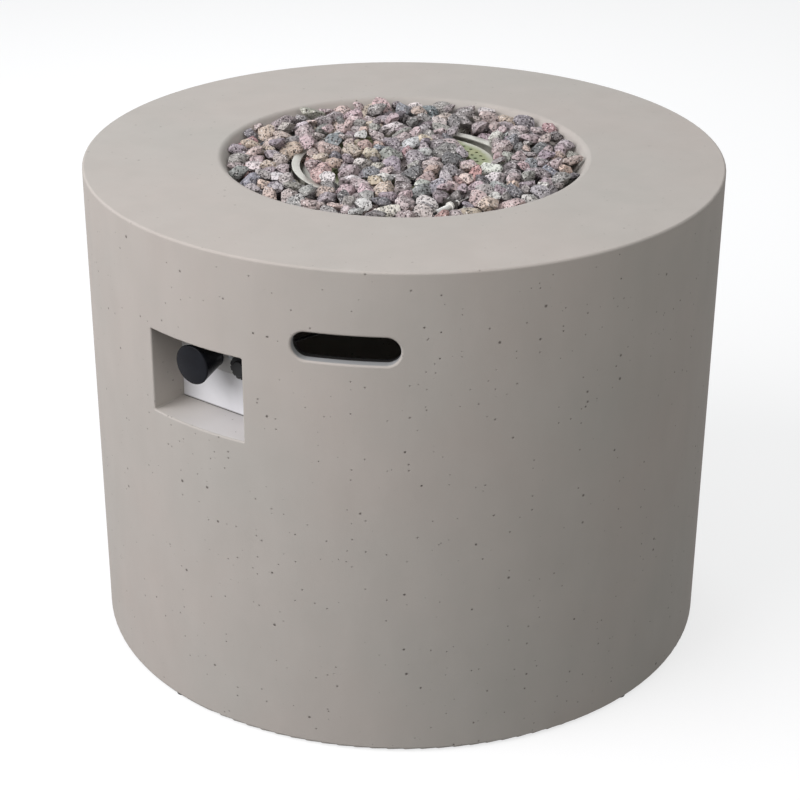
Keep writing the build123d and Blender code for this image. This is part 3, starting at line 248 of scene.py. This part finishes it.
# bare and plated metals: cloudy tone, brushed or sandy grain, duller where the clouds lie
def makeMetal(name, look):
    finish, tree, shader, place = newFinish(name)
    clouds = useGroup(tree, softClouds, {"Vector": place, "Scale": look.get("cloudScale", 60.0)})["Factor"]
    stretched = put(tree, "Mapping", {"Vector": place, "Scale": look.get("brush", (1.0, 1.0, 1.0))}).outputs[0]
    grain = useGroup(tree, fineGrain, {"Vector": stretched, "Scale": look.get("grainScale", 900.0)})["Factor"]
    tone = mixTone(tree, clouds, look["tone"], look["dull"])
    tree.links.new(tone, shader.inputs["Base Color"])
    low, high = look["rough"]
    rough = remap(tree, calc(tree, "ADD", grain, clouds), 0.0, 2.0, low, high)
    tree.links.new(rough, shader.inputs["Roughness"])
    shader.inputs["Metallic"].default_value = look.get("metal", 1.0)
    bump = put(tree, "Bump", {"Strength": 0.25, "Distance": look.get("bump", 0.00015), "Height": grain})
    tree.links.new(bump.outputs[0], shader.inputs["Normal"])
    return finish


# mouldings, rubber, paint, film and ceramic
def makePlastic(name, look):
    finish, tree, shader, place = newFinish(name)
    clouds = useGroup(tree, softClouds, {"Vector": place, "Scale": look.get("cloudScale", 45.0)})["Factor"]
    grain = useGroup(tree, fineGrain, {"Vector": place, "Scale": look.get("grainScale", 1400.0)})["Factor"]
    tone = mixTone(tree, clouds, look["tone"], look["worn"])
    # painted shade: darker in the corner just above the seam level, where the part meets the sill
    if "seam" in look:
        dirt = useGroup(tree, seamDirt, {"Vector": place, "Level": look["seam"], "Reach": 0.0022})["Mask"]
        tone = mixTone(tree, dirt, tone, look["dirt"])
    tree.links.new(tone, shader.inputs["Base Color"])
    low, high = look["rough"]
    rough = remap(tree, calc(tree, "ADD", grain, clouds), 0.0, 2.0, low, high)
    tree.links.new(rough, shader.inputs["Roughness"])
    shader.inputs["Specular IOR Level"].default_value = look.get("gloss", 0.5)
    shader.inputs["Coat Weight"].default_value = look.get("coat", 0.0)
    shader.inputs["Coat Roughness"].default_value = 0.12
    bump = put(tree, "Bump", {"Strength": 0.3, "Distance": look.get("bump", 0.0001), "Height": grain})
    tree.links.new(bump.outputs[0], shader.inputs["Normal"])
    return finish


# burner sheet, straw and green where the flame has been, plain on the outer slope
burnerLook = dict(
    steel=(0.47, 0.46, 0.42, 1),
    straw=(0.235, 0.230, 0.100, 1),
    green=(0.195, 0.225, 0.115, 1),
    soot=(0.06, 0.055, 0.05, 1),
    cloudScale=38.0,
    grainScale=800.0,
    wander=0.006,
    tinted=(0.117, 0.106),
    spots=dict(Scale=140.0, Share=0.3, Size=0.3),
    sootShare=0.35,
    rough=(0.42, 0.62),
    metal=0.6,
    bump=0.0002,
)


def makeBurner(look):
    finish, tree, shader, place = newFinish("burnerSteel")
    parts = put(tree, "SeparateXYZ", {0: place}).outputs
    flat = put(tree, "CombineXYZ", {0: parts[0], 1: parts[1]}).outputs[0]
    radius = put(tree, "VectorMath", {0: flat}, operation="LENGTH").outputs["Value"]
    clouds = useGroup(tree, softClouds, {"Vector": place, "Scale": look["cloudScale"]})["Factor"]
    grain = useGroup(tree, fineGrain, {"Vector": place, "Scale": look["grainScale"]})["Factor"]
    wander = calc(tree, "ADD", radius, calc(tree, "MULTIPLY", clouds, look["wander"]))
    heat = remap(tree, wander, *look["tinted"], 0.0, 1.0)
    tint = mixTone(tree, clouds, look["straw"], look["green"])
    tone = mixTone(tree, heat, look["steel"], tint)
    spots = useGroup(tree, castPits, {"Vector": place, **look["spots"]})["Mask"]
    tone = mixTone(tree, calc(tree, "MULTIPLY", spots, look["sootShare"]), tone, look["soot"])
    tree.links.new(tone, shader.inputs["Base Color"])
    rough = remap(tree, calc(tree, "ADD", grain, clouds), 0.0, 2.0, *look["rough"])
    tree.links.new(rough, shader.inputs["Roughness"])
    shader.inputs["Metallic"].default_value = look["metal"]
    bump = put(tree, "Bump", {"Strength": 0.2, "Distance": look["bump"], "Height": grain})
    tree.links.new(bump.outputs[0], shader.inputs["Normal"])
    return finish


# porous stone, tinted stone by stone
lavaLook = dict(
    pore=(0.045, 0.038, 0.038, 1),
    fleck=(0.84, 0.80, 0.78, 1),
    cloudScale=130.0,
    grainScale=1100.0,
    pores=dict(Scale=420.0, Share=0.80, Size=0.58),
    holes=dict(Scale=210.0, Share=0.45, Size=0.34),
    flecks=dict(Scale=440.0, Share=0.52, Size=0.50),
    poreDepth=0.85,
    grainShare=0.7,
    shade=(0.80, 1.46),
    fleckShare=0.85,
    poreShare=0.95,
    rough=(0.86, 0.98),
    gloss=0.2,
    cloudDepth=0.6,
    bumpStrength=0.8,
    bumpDepth=0.0024,
)


def makeLava(look):
    finish, tree, shader, place = newFinish("lavaStone")
    tint = put(tree, "Attribute", attribute_name="stoneTint").outputs["Color"]
    clouds = useGroup(tree, softClouds, {"Vector": place, "Scale": look["cloudScale"]})["Factor"]
    grain = useGroup(tree, fineGrain, {"Vector": place, "Scale": look["grainScale"]})["Factor"]
    pores, holes, flecks = (
        useGroup(tree, castPits, {"Vector": place, **look[kind]})["Mask"] for kind in ("pores", "holes", "flecks")
    )
    dark = calc(tree, "MAXIMUM", calc(tree, "MULTIPLY", pores, look["poreDepth"]), holes)
    mottle = calc(tree, "ADD", clouds, calc(tree, "MULTIPLY", grain, look["grainShare"]))
    shade = remap(tree, mottle, 0.0, 1.0 + look["grainShare"], *look["shade"])
    tone = mixTone(tree, 1.0, tint, put(tree, "CombineColor", {0: shade, 1: shade, 2: shade}).outputs[0], "MULTIPLY")
    tone = mixTone(tree, calc(tree, "MULTIPLY", flecks, look["fleckShare"]), tone, look["fleck"])
    tone = mixTone(tree, calc(tree, "MULTIPLY", dark, look["poreShare"]), tone, look["pore"])
    tree.links.new(tone, shader.inputs["Base Color"])
    tree.links.new(remap(tree, grain, 0.0, 1.0, *look["rough"]), shader.inputs["Roughness"])
    shader.inputs["Specular IOR Level"].default_value = look["gloss"]
    height = calc(tree, "SUBTRACT", calc(tree, "MULTIPLY", clouds, look["cloudDepth"]), dark)
    bump = put(tree, "Bump", {"Strength": look["bumpStrength"], "Distance": look["bumpDepth"], "Height": height})
    tree.links.new(bump.outputs[0], shader.inputs["Normal"])
    return finish


bowlLook = dict(
    tone=(0.16, 0.145, 0.13, 1), dull=(0.07, 0.062, 0.056, 1), rough=(0.45, 0.75), metal=0.7, cloudScale=22.0
)
panLook = dict(
    tone=(0.050, 0.045, 0.040, 1), dull=(0.028, 0.025, 0.023, 1), rough=(0.6, 0.85), metal=0.3, cloudScale=30.0
)
zincLook = dict(tone=(0.66, 0.67, 0.68, 1), dull=(0.50, 0.51, 0.52, 1), rough=(0.28, 0.5), cloudScale=160.0)
brassLook = dict(tone=(0.72, 0.55, 0.26, 1), dull=(0.55, 0.40, 0.18, 1), rough=(0.25, 0.48), cloudScale=120.0)
tubeLook = dict(tone=(0.78, 0.79, 0.80, 1), dull=(0.63, 0.64, 0.66, 1), rough=(0.3, 0.46), brush=(1.0, 0.05, 1.0))
castingLook = dict(
    tone=(0.52, 0.53, 0.54, 1), dull=(0.40, 0.40, 0.41, 1), rough=(0.42, 0.66), grainScale=500.0, bump=0.0004
)
stemLook = dict(tone=(0.62, 0.62, 0.61, 1), dull=(0.50, 0.49, 0.48, 1), rough=(0.2, 0.4), cloudScale=200.0)
copperLook = dict(tone=(0.72, 0.40, 0.26, 1), dull=(0.50, 0.27, 0.18, 1), rough=(0.28, 0.5), cloudScale=140.0)
plateLook = dict(
    tone=(0.62, 0.62, 0.61, 1),
    worn=(0.54, 0.535, 0.52, 1),
    rough=(0.42, 0.6),
    cloudScale=30.0,
    seam=0.3885,
    # painted shade along the plate's foot, where it meets the sill
    dirt=(0.07, 0.065, 0.06, 1),
)
labelLook = dict(
    tone=(0.82, 0.82, 0.845, 1),
    worn=(0.74, 0.74, 0.76, 1),
    rough=(0.38, 0.5),
    cloudScale=26.0,
    seam=0.3885,
    # painted shade along the label's foot, where it meets the sill
    dirt=(0.10, 0.095, 0.09, 1),
)
knobLook = dict(tone=(0.007, 0.007, 0.010, 1), worn=(0.010, 0.011, 0.015, 1), rough=(0.16, 0.28), gloss=0.09)
igniterLook = dict(tone=(0.011, 0.011, 0.012, 1), worn=(0.018, 0.018, 0.019, 1), rough=(0.32, 0.5), gloss=0.22)
rubberLook = dict(tone=(0.022, 0.022, 0.022, 1), worn=(0.04, 0.038, 0.036, 1), rough=(0.7, 0.92), bump=0.0003)
batteryLook = dict(tone=(0.30, 0.31, 0.33, 1), worn=(0.24, 0.25, 0.27, 1), rough=(0.25, 0.4))
ceramicLook = dict(
    tone=(0.86, 0.85, 0.82, 1), worn=(0.78, 0.76, 0.71, 1), rough=(0.16, 0.3), coat=0.4, cloudScale=110.0
)
sheathLook = dict(tone=(0.022, 0.021, 0.021, 1), worn=(0.036, 0.034, 0.033, 1), rough=(0.5, 0.7), gloss=0.3)
scorchedLook = dict(
    tone=(0.120, 0.110, 0.100, 1), dull=(0.055, 0.050, 0.046, 1), rough=(0.55, 0.8), metal=0.6, cloudScale=70.0
)

concrete = makeConcrete(concreteLook)
burnerSteel = makeBurner(burnerLook)
lavaStone = makeLava(lavaLook)
zinc = makeMetal("zincPlate", zincLook)
brass = makeMetal("turnedBrass", brassLook)
stemSteel = makeMetal("stemSteel", stemLook)
igniterBlack = makePlastic("igniterBlack", igniterLook)
rubber = makePlastic("blackRubber", rubberLook)

finishes = {
    concrete: ["concrete_body"],
    burnerSteel: ["burner_top"],
    makeMetal("scorchedBowl", bowlLook): ["fire_bowl"],
    makeMetal("burnerPan", panLook): ["burner_base"],
    zinc: [
        "burner_pipe", "pipe_locknuts", "burner_posts", "post_screws", "pipe_elbow", "plate_screws",
        "valve_screws", "bracket_nut", "igniter_nut",
    ],
    makeMetal("scorchedSteel", scorchedLook): ["ignition_bracket", "bracket_screw"],
    brass: ["air_mixer", "gas_jet", "tube_nuts", "gas_inlet", "thermocouple_nut", "magnet_unit"],
    makeMetal("gasTube", tubeLook): ["gas_tube"],
    makeMetal("valveCasting", castingLook): ["gas_valve_body"],
    stemSteel: [
        "valve_stem", "valve_plunger", "plunger_spring", "button_spring", "electrode_rod", "thermocouple_probe",
    ],
    makeMetal("copperLead", copperLook): ["thermocouple_lead"],
    makePlastic("platePaint", plateLook): ["control_plate"],
    makePlastic("bareLabel", labelLook): ["blank_label"],
    makePlastic("knobBlack", knobLook): ["control_knob"],
    igniterBlack: ["igniter_housing", "igniter_button"],
    rubber: ["rubber_feet", "lead_grommets"],
    makePlastic("batteryWrap", batteryLook): ["battery"],
    makePlastic("whiteCeramic", ceramicLook): ["electrode_ceramic"],
    makePlastic("leadSheath", sheathLook): ["ignition_lead"],
}
for finish, names in finishes.items():
    for name in names:
        for holder in nodes[name].material_slots:
            holder.material = finish
print("finishes on:", sum(len(names) for names in finishes.values()), "nodes")


# lower stones: a lumpy ring round the burner and a lumpy disc inside it, tinted dark as painted shade in the gaps
# between the upper stones
bedLook = dict(
    ring=(0.1425, 0.1760),
    disc=(0.0005, 0.0665),
    foot=0.540,
    top=0.5850,
    steps=110,
    lump=0.006,
    lumpSize=0.022,
    tint=(0.075, 0.068, 0.066, 1),
)


def bedPart(name, inner, outer, look):
    bpy.ops.object.select_all(action="DESELECT")
    bpy.ops.mesh.primitive_plane_add(size=1.0, location=(0, 0, 0))
    part = bpy.context.object
    part.name = name
    bpy.ops.object.mode_set(mode="EDIT")
    bpy.ops.mesh.select_all(action="SELECT")
    bpy.ops.transform.rotate(value=pi / 2, orient_axis="X", center_override=(0, 0, 0))
    bpy.ops.transform.resize(value=(outer - inner, 1.0, look["top"] - look["foot"]), center_override=(0, 0, 0))
    bpy.ops.transform.translate(value=((inner + outer) / 2, 0, (look["top"] + look["foot"]) / 2))
    bpy.ops.mesh.subdivide(number_cuts=7)
    bpy.ops.mesh.spin(steps=look["steps"], angle=2 * pi, center=(0, 0, 0), axis=(0, 0, 1))
    bpy.ops.mesh.select_all(action="SELECT")
    bpy.ops.mesh.remove_doubles(threshold=0.0003)
    bpy.ops.mesh.select_all(action="SELECT")
    bpy.ops.mesh.delete_loose()
    bpy.ops.mesh.select_all(action="SELECT")
    bpy.ops.mesh.normals_make_consistent(inside=False)
    bpy.ops.object.mode_set(mode="OBJECT")
    return part


bedRing = bedPart("lavaBed", *bedLook["ring"], bedLook)
bedDisc = bedPart("bedDisc", *bedLook["disc"], bedLook)
bpy.ops.object.select_all(action="DESELECT")
bedRing.select_set(True)
bedDisc.select_set(True)
bpy.context.view_layer.objects.active = bedRing
bpy.ops.object.join()
lumpPattern = bpy.data.textures.new("bedLumps", "VORONOI")
lumpPattern.noise_scale = bedLook["lumpSize"]
lumps = bedRing.modifiers.new("lumps", "DISPLACE")
lumps.texture = lumpPattern
lumps.texture_coords = "LOCAL"
lumps.direction = "Z"
lumps.strength = -bedLook["lump"]
lumps.mid_level = 0.0
bpy.ops.object.modifier_apply(modifier="lumps")
bpy.ops.object.shade_smooth_by_angle(angle=radians(40))
print("bed:", len(bedRing.data.polygons), "faces")


# upper stones: a few broken lumps, copied, turned and dropped until the opening is full
stoneLook = dict(
    forms=12,
    seed=23,
    ball=1.12,
    ragged=0.17,
    knocks=7,
    knockDepth=(0.62, 0.86),
    weld=0.19,
    halfLength=(0.0108, 0.0200, 0.0148),
    halfWidth=(0.58, 0.84),
    halfHeight=(0.42, 0.62),
    shrink=0.42,
    tilt=0.45,
    nestle=0.14,
    poke=0.5,
    tries=9,
    giveUp=240,
    fieldRadius=0.2200,
    rimTop=0.6076,
    crown=0.0036,
    uneven=0.0022,
    swell=1.02,
    bright=(0.82, 1.15),
    stray=(0.95, 1.05),
    tints=[
        ((0.500, 0.410, 0.402), 24),
        ((0.318, 0.280, 0.290), 22),
        ((0.408, 0.354, 0.360), 22),
        ((0.356, 0.344, 0.330), 12),
        ((0.540, 0.450, 0.370), 8),
        ((0.400, 0.260, 0.250), 4),
        ((0.640, 0.610, 0.595), 9),
        ((0.196, 0.186, 0.192), 7),
        ((0.456, 0.440, 0.385), 4),
        ((0.560, 0.440, 0.400), 10),
        ((0.300, 0.310, 0.325), 7),
    ],
)
chance = Random(stoneLook["seed"])


def anyWay():
    level = chance.uniform(-1, 1)
    turn = chance.uniform(0, 2 * pi)
    return Vector((sqrt(1 - level * level) * cos(turn), sqrt(1 - level * level) * sin(turn), level))


def stoneForm(number):
    bpy.ops.object.select_all(action="DESELECT")
    bpy.ops.mesh.primitive_ico_sphere_add(subdivisions=2, radius=stoneLook["ball"])
    form = bpy.context.object
    bpy.ops.object.mode_set(mode="EDIT")
    bpy.ops.mesh.select_all(action="SELECT")
    bpy.ops.transform.vertex_random(offset=stoneLook["ragged"], uniform=0.25, normal=0.75, seed=number)
    for _ in range(stoneLook["knocks"]):
        facing = anyWay()
        bpy.ops.mesh.select_all(action="SELECT")
        bpy.ops.mesh.bisect(
            plane_co=facing * chance.uniform(*stoneLook["knockDepth"]), plane_no=facing, use_fill=True, clear_outer=True
        )
    bpy.ops.mesh.select_all(action="SELECT")
    bpy.ops.mesh.remove_doubles(threshold=stoneLook["weld"])
    bpy.ops.mesh.quads_convert_to_tris()
    bpy.ops.mesh.normals_make_consistent(inside=False)
    bpy.ops.object.mode_set(mode="OBJECT")
    bpy.ops.object.shade_smooth_by_angle(angle=radians(34))
    return form


forms = [stoneForm(number) for number in range(stoneLook["forms"])]
print("stone forms:", [len(form.data.polygons) for form in forms], "faces")

# plan of the opening, cell by cell: what the stones land on, how high they may reach, and where none lies
step = 0.002
half = 114
line = (numpy.arange(2 * half + 1) - half) * step
planX, planY = numpy.meshgrid(line, line, indexing="ij")
planR = numpy.hypot(planX, planY)
sightTurn = radians(36.9)  # the photographed side, from -Y towards +X
sightX, sightY = sin(sightTurn), -cos(sightTurn)
sightSlope = 0.354
viewX = planX * cos(sightTurn) + planY * sin(sightTurn)
viewY = planY * cos(sightTurn) - planX * sin(sightTurn)

landing = numpy.interp(
    planR,
    [0.0, 0.068, 0.070, 0.078, 0.084, 0.112, 0.132, 0.140, 0.1405, 0.176, 0.181, 0.206, 0.208, 0.224],
    [0.582, 0.582, 0.582, 0.582, 0.5957, 0.5957, 0.582, 0.582, 0.582, 0.582, 0.586, 0.586, 0.5845, 0.610],
)
ceiling = stoneLook["rimTop"] + stoneLook["crown"] * (1 - (planR / stoneLook["fieldRadius"]) ** 2)
bare = planR > stoneLook["fieldRadius"]


def alongRun(start, end, wide):
    startX, startY = start
    runX, runY = end[0] - startX, end[1] - startY
    share = ((planX - startX) * runX + (planY - startY) * runY) / (runX * runX + runY * runY)
    share = numpy.clip(share, 0, 1)
    return numpy.hypot(planX - startX - share * runX, planY - startY - share * runY) < wide


# keeps the stones before a point low enough for it to be seen
def openSight(x, y, level, wide, depth):
    for ahead in numpy.arange(0.003, depth, 0.003):
        near = numpy.hypot(planX - x - ahead * sightX, planY - y - ahead * sightY) < wide
        ceiling[near] = numpy.minimum(ceiling[near], level + ahead * sightSlope)


def between(values, low, high):
    return (values > low) & (values < high)


# perforated stretch of the burner at the right
gapLook = dict(across=(0.070, 0.104), along=(-0.020, 0.120), radius=(0.078, 0.141))
bare |= (
    between(viewX, *gapLook["across"]) & between(viewY, *gapLook["along"]) & between(planR, *gapLook["radius"])
)

# raised rim of the burner at the left
rimLook = dict(
    inner=0.1280,
    outer=0.1378,
    wall=0.0014,
    foot=0.5795,
    top=0.5958,
    lipDrop=0.0012,
    shown=(-100, -50),
    taper=24,
    bareWidth=0.0034,
    sight=dict(below=0.003, wide=0.0036, depth=0.026),
)
for degrees in range(*rimLook["shown"], 2):
    turn = sightTurn + radians(degrees)
    share = min(1.0, (rimLook["shown"][1] - degrees) / rimLook["taper"])
    shownWidth = share * (rimLook["outer"] - rimLook["inner"])
    for inward in (0.0, 0.5, 1.0):
        away = rimLook["outer"] - inward * shownWidth
        rimX, rimY = away * sin(turn), -away * cos(turn)
        bare |= numpy.hypot(planX - rimX, planY - rimY) < rimLook["bareWidth"]
        sight = rimLook["sight"]
        openSight(rimX, rimY, rimLook["top"] - sight["below"], sight["wide"], sight["depth"])

# electrode and its rod at the front
electrodeLook = dict(
    back=0.035, front=0.013, wide=0.0050, rodWide=0.0026, sight=dict(back=0.034, below=0.0035, wide=0.0042, depth=0.016)
)
ceramicLow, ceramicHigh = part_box("electrode_ceramic")
rodLow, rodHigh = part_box("electrode_rod")
electrodeX = (ceramicLow[0] + ceramicHigh[0]) / 2
electrodeZ = (rodLow[2] + rodHigh[2]) / 2
ceramicEnd = (electrodeX, ceramicHigh[1])
rodEnd = (electrodeX, ceramicHigh[1] + electrodeLook["front"])
bare |= alongRun((electrodeX, ceramicHigh[1] - electrodeLook["back"]), ceramicEnd, electrodeLook["wide"])
bare |= alongRun(ceramicEnd, rodEnd, electrodeLook["rodWide"])
sight = electrodeLook["sight"]
for y in numpy.arange(ceramicHigh[1] - sight["back"], rodEnd[1], 0.003):
    openSight(electrodeX, y, electrodeZ - sight["below"], sight["wide"], sight["depth"])

tintNames = [tint for tint, share in stoneLook["tints"]]
tintShares = [share for tint, share in stoneLook["tints"]]
copies = []
missed = 0
while missed < stoneLook["giveUp"]:
    longHalf = chance.triangular(*stoneLook["halfLength"]) * (1 - stoneLook["shrink"] * missed / stoneLook["giveUp"])
    wideHalf = longHalf * chance.uniform(*stoneLook["halfWidth"])
    tallHalf = longHalf * chance.uniform(*stoneLook["halfHeight"])
    best = None
    for _ in range(stoneLook["tries"]):
        away = stoneLook["fieldRadius"] * sqrt(chance.random())
        turn = chance.uniform(0, 2 * pi)
        yaw = chance.uniform(0, pi)
        x, y = away * cos(turn), away * sin(turn)
        column, row = int(round(x / step)) + half, int(round(y / step)) + half
        reach = int(longHalf / step) + 1
        if not (reach <= column < 2 * half + 1 - reach and reach <= row < 2 * half + 1 - reach):
            continue
        patch = (slice(column - reach, column + reach + 1), slice(row - reach, row + reach + 1))
        across = (planX[patch] - x) * cos(yaw) + (planY[patch] - y) * sin(yaw)
        along = (planY[patch] - y) * cos(yaw) - (planX[patch] - x) * sin(yaw)
        dome = 1 - (across / longHalf) ** 2 - (along / wideHalf) ** 2
        inside = dome > 0.06
        if (bare[patch] & inside).any():
            continue
        dome = numpy.where(inside, tallHalf * numpy.sqrt(numpy.clip(dome, 0, 1)), 0)
        level = (landing[patch] + dome)[inside].max() - stoneLook["nestle"] * tallHalf
        if best is None or level < best[0]:
            best = (level, x, y, yaw, patch, dome, inside)
    lift = chance.uniform(-stoneLook["uneven"], stoneLook["uneven"])
    if best is None or best[0] + stoneLook["poke"] * tallHalf > ceiling[best[4]][best[6]].min() + lift:
        missed += 1
        continue
    missed = 0
    level, x, y, yaw, patch, dome, inside = best
    landing[patch] = numpy.where(inside, numpy.maximum(landing[patch], level + dome), landing[patch])
    tip = Euler((chance.uniform(-1, 1) * stoneLook["tilt"], chance.uniform(-1, 1) * stoneLook["tilt"], yaw))
    spin = Euler((0, 0, chance.choice((0, pi))))
    swell = stoneLook["swell"]
    size = Matrix.Diagonal((longHalf * swell, wideHalf * swell, tallHalf * swell, 1))
    stand = Matrix.Translation((x, y, level)) @ tip.to_matrix().to_4x4() @ size @ spin.to_matrix().to_4x4()
    mesh = chance.choice(forms).data.copy()
    mesh.transform(stand)
    tint = chance.choices(tintNames, tintShares)[0]
    bright = chance.uniform(*stoneLook["bright"])
    tone = [part * bright * chance.uniform(*stoneLook["stray"]) for part in tint] + [1.0]
    layer = mesh.color_attributes.new("stoneTint", "FLOAT_COLOR", "POINT")
    layer.data.foreach_set("color", tone * len(mesh.vertices))
    copy = bpy.data.objects.new("stone", mesh)
    scene.collection.objects.link(copy)
    copies.append(copy)

for form in forms:
    bpy.data.objects.remove(form)
bpy.ops.object.select_all(action="DESELECT")
for copy in copies:
    copy.select_set(True)
lavaStones = copies[0]
lavaStones.name = "lavaStones"
bpy.context.view_layer.objects.active = lavaStones
bpy.ops.object.join()
lavaStones.data.materials.clear()
lavaStones.data.materials.append(lavaStone)
print("stones:", len(copies), "with", len(lavaStones.data.polygons), "faces")

# rim: a thin wall stood on the burner's flange, with a lip turned inwards at the top
bpy.ops.object.select_all(action="DESELECT")
bpy.ops.mesh.primitive_plane_add(size=1.0, location=(0, 0, 0))
burnerRim = bpy.context.object
burnerRim.name = "burnerRim"
bpy.ops.object.mode_set(mode="EDIT")
bpy.ops.mesh.select_all(action="SELECT")
bpy.ops.transform.rotate(value=pi / 2, orient_axis="X", center_override=(0, 0, 0))
tall = rimLook["top"] - rimLook["foot"]
bpy.ops.transform.resize(value=(rimLook["wall"], 1.0, tall), center_override=(0, 0, 0))
bpy.ops.transform.translate(value=(rimLook["outer"] - rimLook["wall"] / 2, 0, rimLook["foot"] + tall / 2))
bpy.ops.mesh.bisect(
    plane_co=(0, 0, rimLook["top"] - rimLook["wall"]), plane_no=(0, 0, 1), use_fill=False, clear_outer=False
)
bpy.ops.object.mode_set(mode="OBJECT")
for edge in burnerRim.data.edges:
    ends = [burnerRim.data.vertices[corner].co for corner in edge.vertices]
    innerSide = all(end.x < rimLook["outer"] - rimLook["wall"] / 2 for end in ends)
    edge.select = innerSide and min(end.z for end in ends) > rimLook["top"] - 1.5 * rimLook["wall"]
bpy.ops.object.mode_set(mode="EDIT")
bpy.ops.mesh.select_mode(type="EDGE")
bpy.ops.mesh.extrude_region_move(
    TRANSFORM_OT_translate={"value": (rimLook["inner"] - rimLook["outer"] + rimLook["wall"], 0, -rimLook["lipDrop"])}
)
bpy.ops.mesh.select_all(action="SELECT")
bpy.ops.mesh.subdivide(number_cuts=1)
bpy.ops.mesh.select_all(action="SELECT")
bpy.ops.mesh.spin(steps=128, angle=2 * pi, center=(0, 0, 0), axis=(0, 0, 1))
bpy.ops.mesh.select_all(action="SELECT")
bpy.ops.mesh.remove_doubles(threshold=0.00005)
bpy.ops.mesh.normals_make_consistent(inside=False)
bpy.ops.object.mode_set(mode="OBJECT")
bpy.ops.object.shade_smooth_by_angle(angle=radians(40))
burnerRim.data.materials.clear()
burnerRim.data.materials.append(burnerSteel)
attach(burnerRim, "fire_pit")
print("rim:", len(burnerRim.data.polygons), "faces")

# painted shade: the lower stones all take one dark tint for the shade between the upper stones
layer = bedRing.data.color_attributes.new("stoneTint", "FLOAT_COLOR", "POINT")
layer.data.foreach_set("color", list(bedLook["tint"]) * len(bedRing.data.vertices))
bedRing.data.materials.clear()
bedRing.data.materials.append(lavaStone)
for piece, node in ((lavaStones, "lava_rocks"), (bedRing, "lava_bed")):
    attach(piece, "fire_pit")
    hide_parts(node)

# floor: white to the camera with a light shadow, dull grey in the light that it throws back
floorLook = dict(size=16.0, shown=0.34, glow=0.70, thrown=0.15)


def whenSeen(tree):
    rays = put(tree, "LightPath").outputs
    seen = calc(tree, "MAXIMUM", rays["Is Camera Ray"], rays["Is Glossy Ray"])
    return calc(tree, "MAXIMUM", seen, rays["Is Transmission Ray"])


bpy.ops.object.select_all(action="DESELECT")
bpy.ops.mesh.primitive_plane_add(size=floorLook["size"], location=(0, 0, 0))
floor = bpy.context.object
floor.name = "studioFloor"
paper, tree, shader, _ = newFinish("studioPaper")
seen = whenSeen(tree)
shade = remap(tree, seen, 0.0, 1.0, floorLook["thrown"], floorLook["shown"])
tree.links.new(put(tree, "CombineColor", {0: shade, 1: shade, 2: shade}).outputs[0], shader.inputs["Base Color"])
tree.links.new(calc(tree, "MULTIPLY", seen, floorLook["glow"]), shader.inputs["Emission Strength"])
shader.inputs["Emission Color"].default_value = (1, 1, 1, 1)
shader.inputs["Roughness"].default_value = 0.95
shader.inputs["Specular IOR Level"].default_value = 0.0
floor.data.materials.append(paper)

# studio: white to the camera, soft grey light from all round
studioLook = dict(level=(0.404, 0.396, 0.384, 1), above=(0.376, 0.392, 0.410, 1), shown=(1.0, 1.0, 1.0, 1))
world = bpy.data.worlds.new("studio")
scene.world = world
world.use_nodes = True
tree = world.node_tree
height = put(tree, "SeparateXYZ", {0: put(tree, "TexCoord").outputs["Generated"]}).outputs[2]
tone = mixTone(tree, remap(tree, height, 0.0, 0.8, 0.0, 1.0), studioLook["level"], studioLook["above"])
tone = mixTone(tree, whenSeen(tree), tone, studioLook["shown"])
tree.links.new(tone, tree.nodes["Background"].inputs["Color"])

# lamps: place, aim, size and power
lampLook = dict(
    key=dict(place=(-1.38, -3.08, 2.95), aim=(0, 0, 0.4), size=4.0, power=184.0, tone=(0.985, 0.975, 1.0)),
    fill=dict(place=(1.90, -1.05, 1.75), aim=(0, 0, 0.4), size=1.4, power=8.5, tone=(1.0, 0.98, 0.94)),
    back=dict(place=(-1.75, 1.75, 2.00), aim=(0, 0, 0.4), size=1.6, power=16.0, tone=(0.94, 0.98, 1.0)),
)
for name, look in lampLook.items():
    way = Vector(look["aim"]) - Vector(look["place"])
    bpy.ops.object.light_add(type="AREA", location=look["place"], rotation=way.to_track_quat("-Z", "Y").to_euler())
    lamp = bpy.context.object
    lamp.name = name + "Lamp"
    lamp.data.shape = "DISK"
    lamp.data.size = look["size"]
    lamp.data.energy = look["power"]
    lamp.data.color = look["tone"]

# camera where the photographer stood
shot = dict(lens=87.67, turn=36.89, away=2.2745, height=1.3818, deck=0.610, pan=-0.0013, tilt=-0.1268, roll=0.0060)
turn = radians(shot["turn"])
stand = Vector((sin(turn) * shot["away"], -cos(turn) * shot["away"], shot["height"]))
toDeck = (Vector((0, 0, shot["deck"])) - stand).normalized()
side = toDeck.cross(Vector((0, 0, 1))).normalized()
ahead = (toDeck + tan(shot["pan"]) * side + tan(shot["tilt"]) * side.cross(toDeck)).normalized()
side = ahead.cross(Vector((0, 0, 1))).normalized()
above = side.cross(ahead)
right = cos(shot["roll"]) * side + sin(shot["roll"]) * above
up = cos(shot["roll"]) * above - sin(shot["roll"]) * side
facing = Matrix((right, up, -ahead)).transposed().to_euler()
bpy.ops.object.camera_add(location=stand, rotation=facing)
camera = bpy.context.object
camera.data.lens = shot["lens"]
camera.data.sensor_width = 36.0
camera.data.clip_end = 60.0
scene.camera = camera
print("camera at", [round(part, 3) for part in stand])
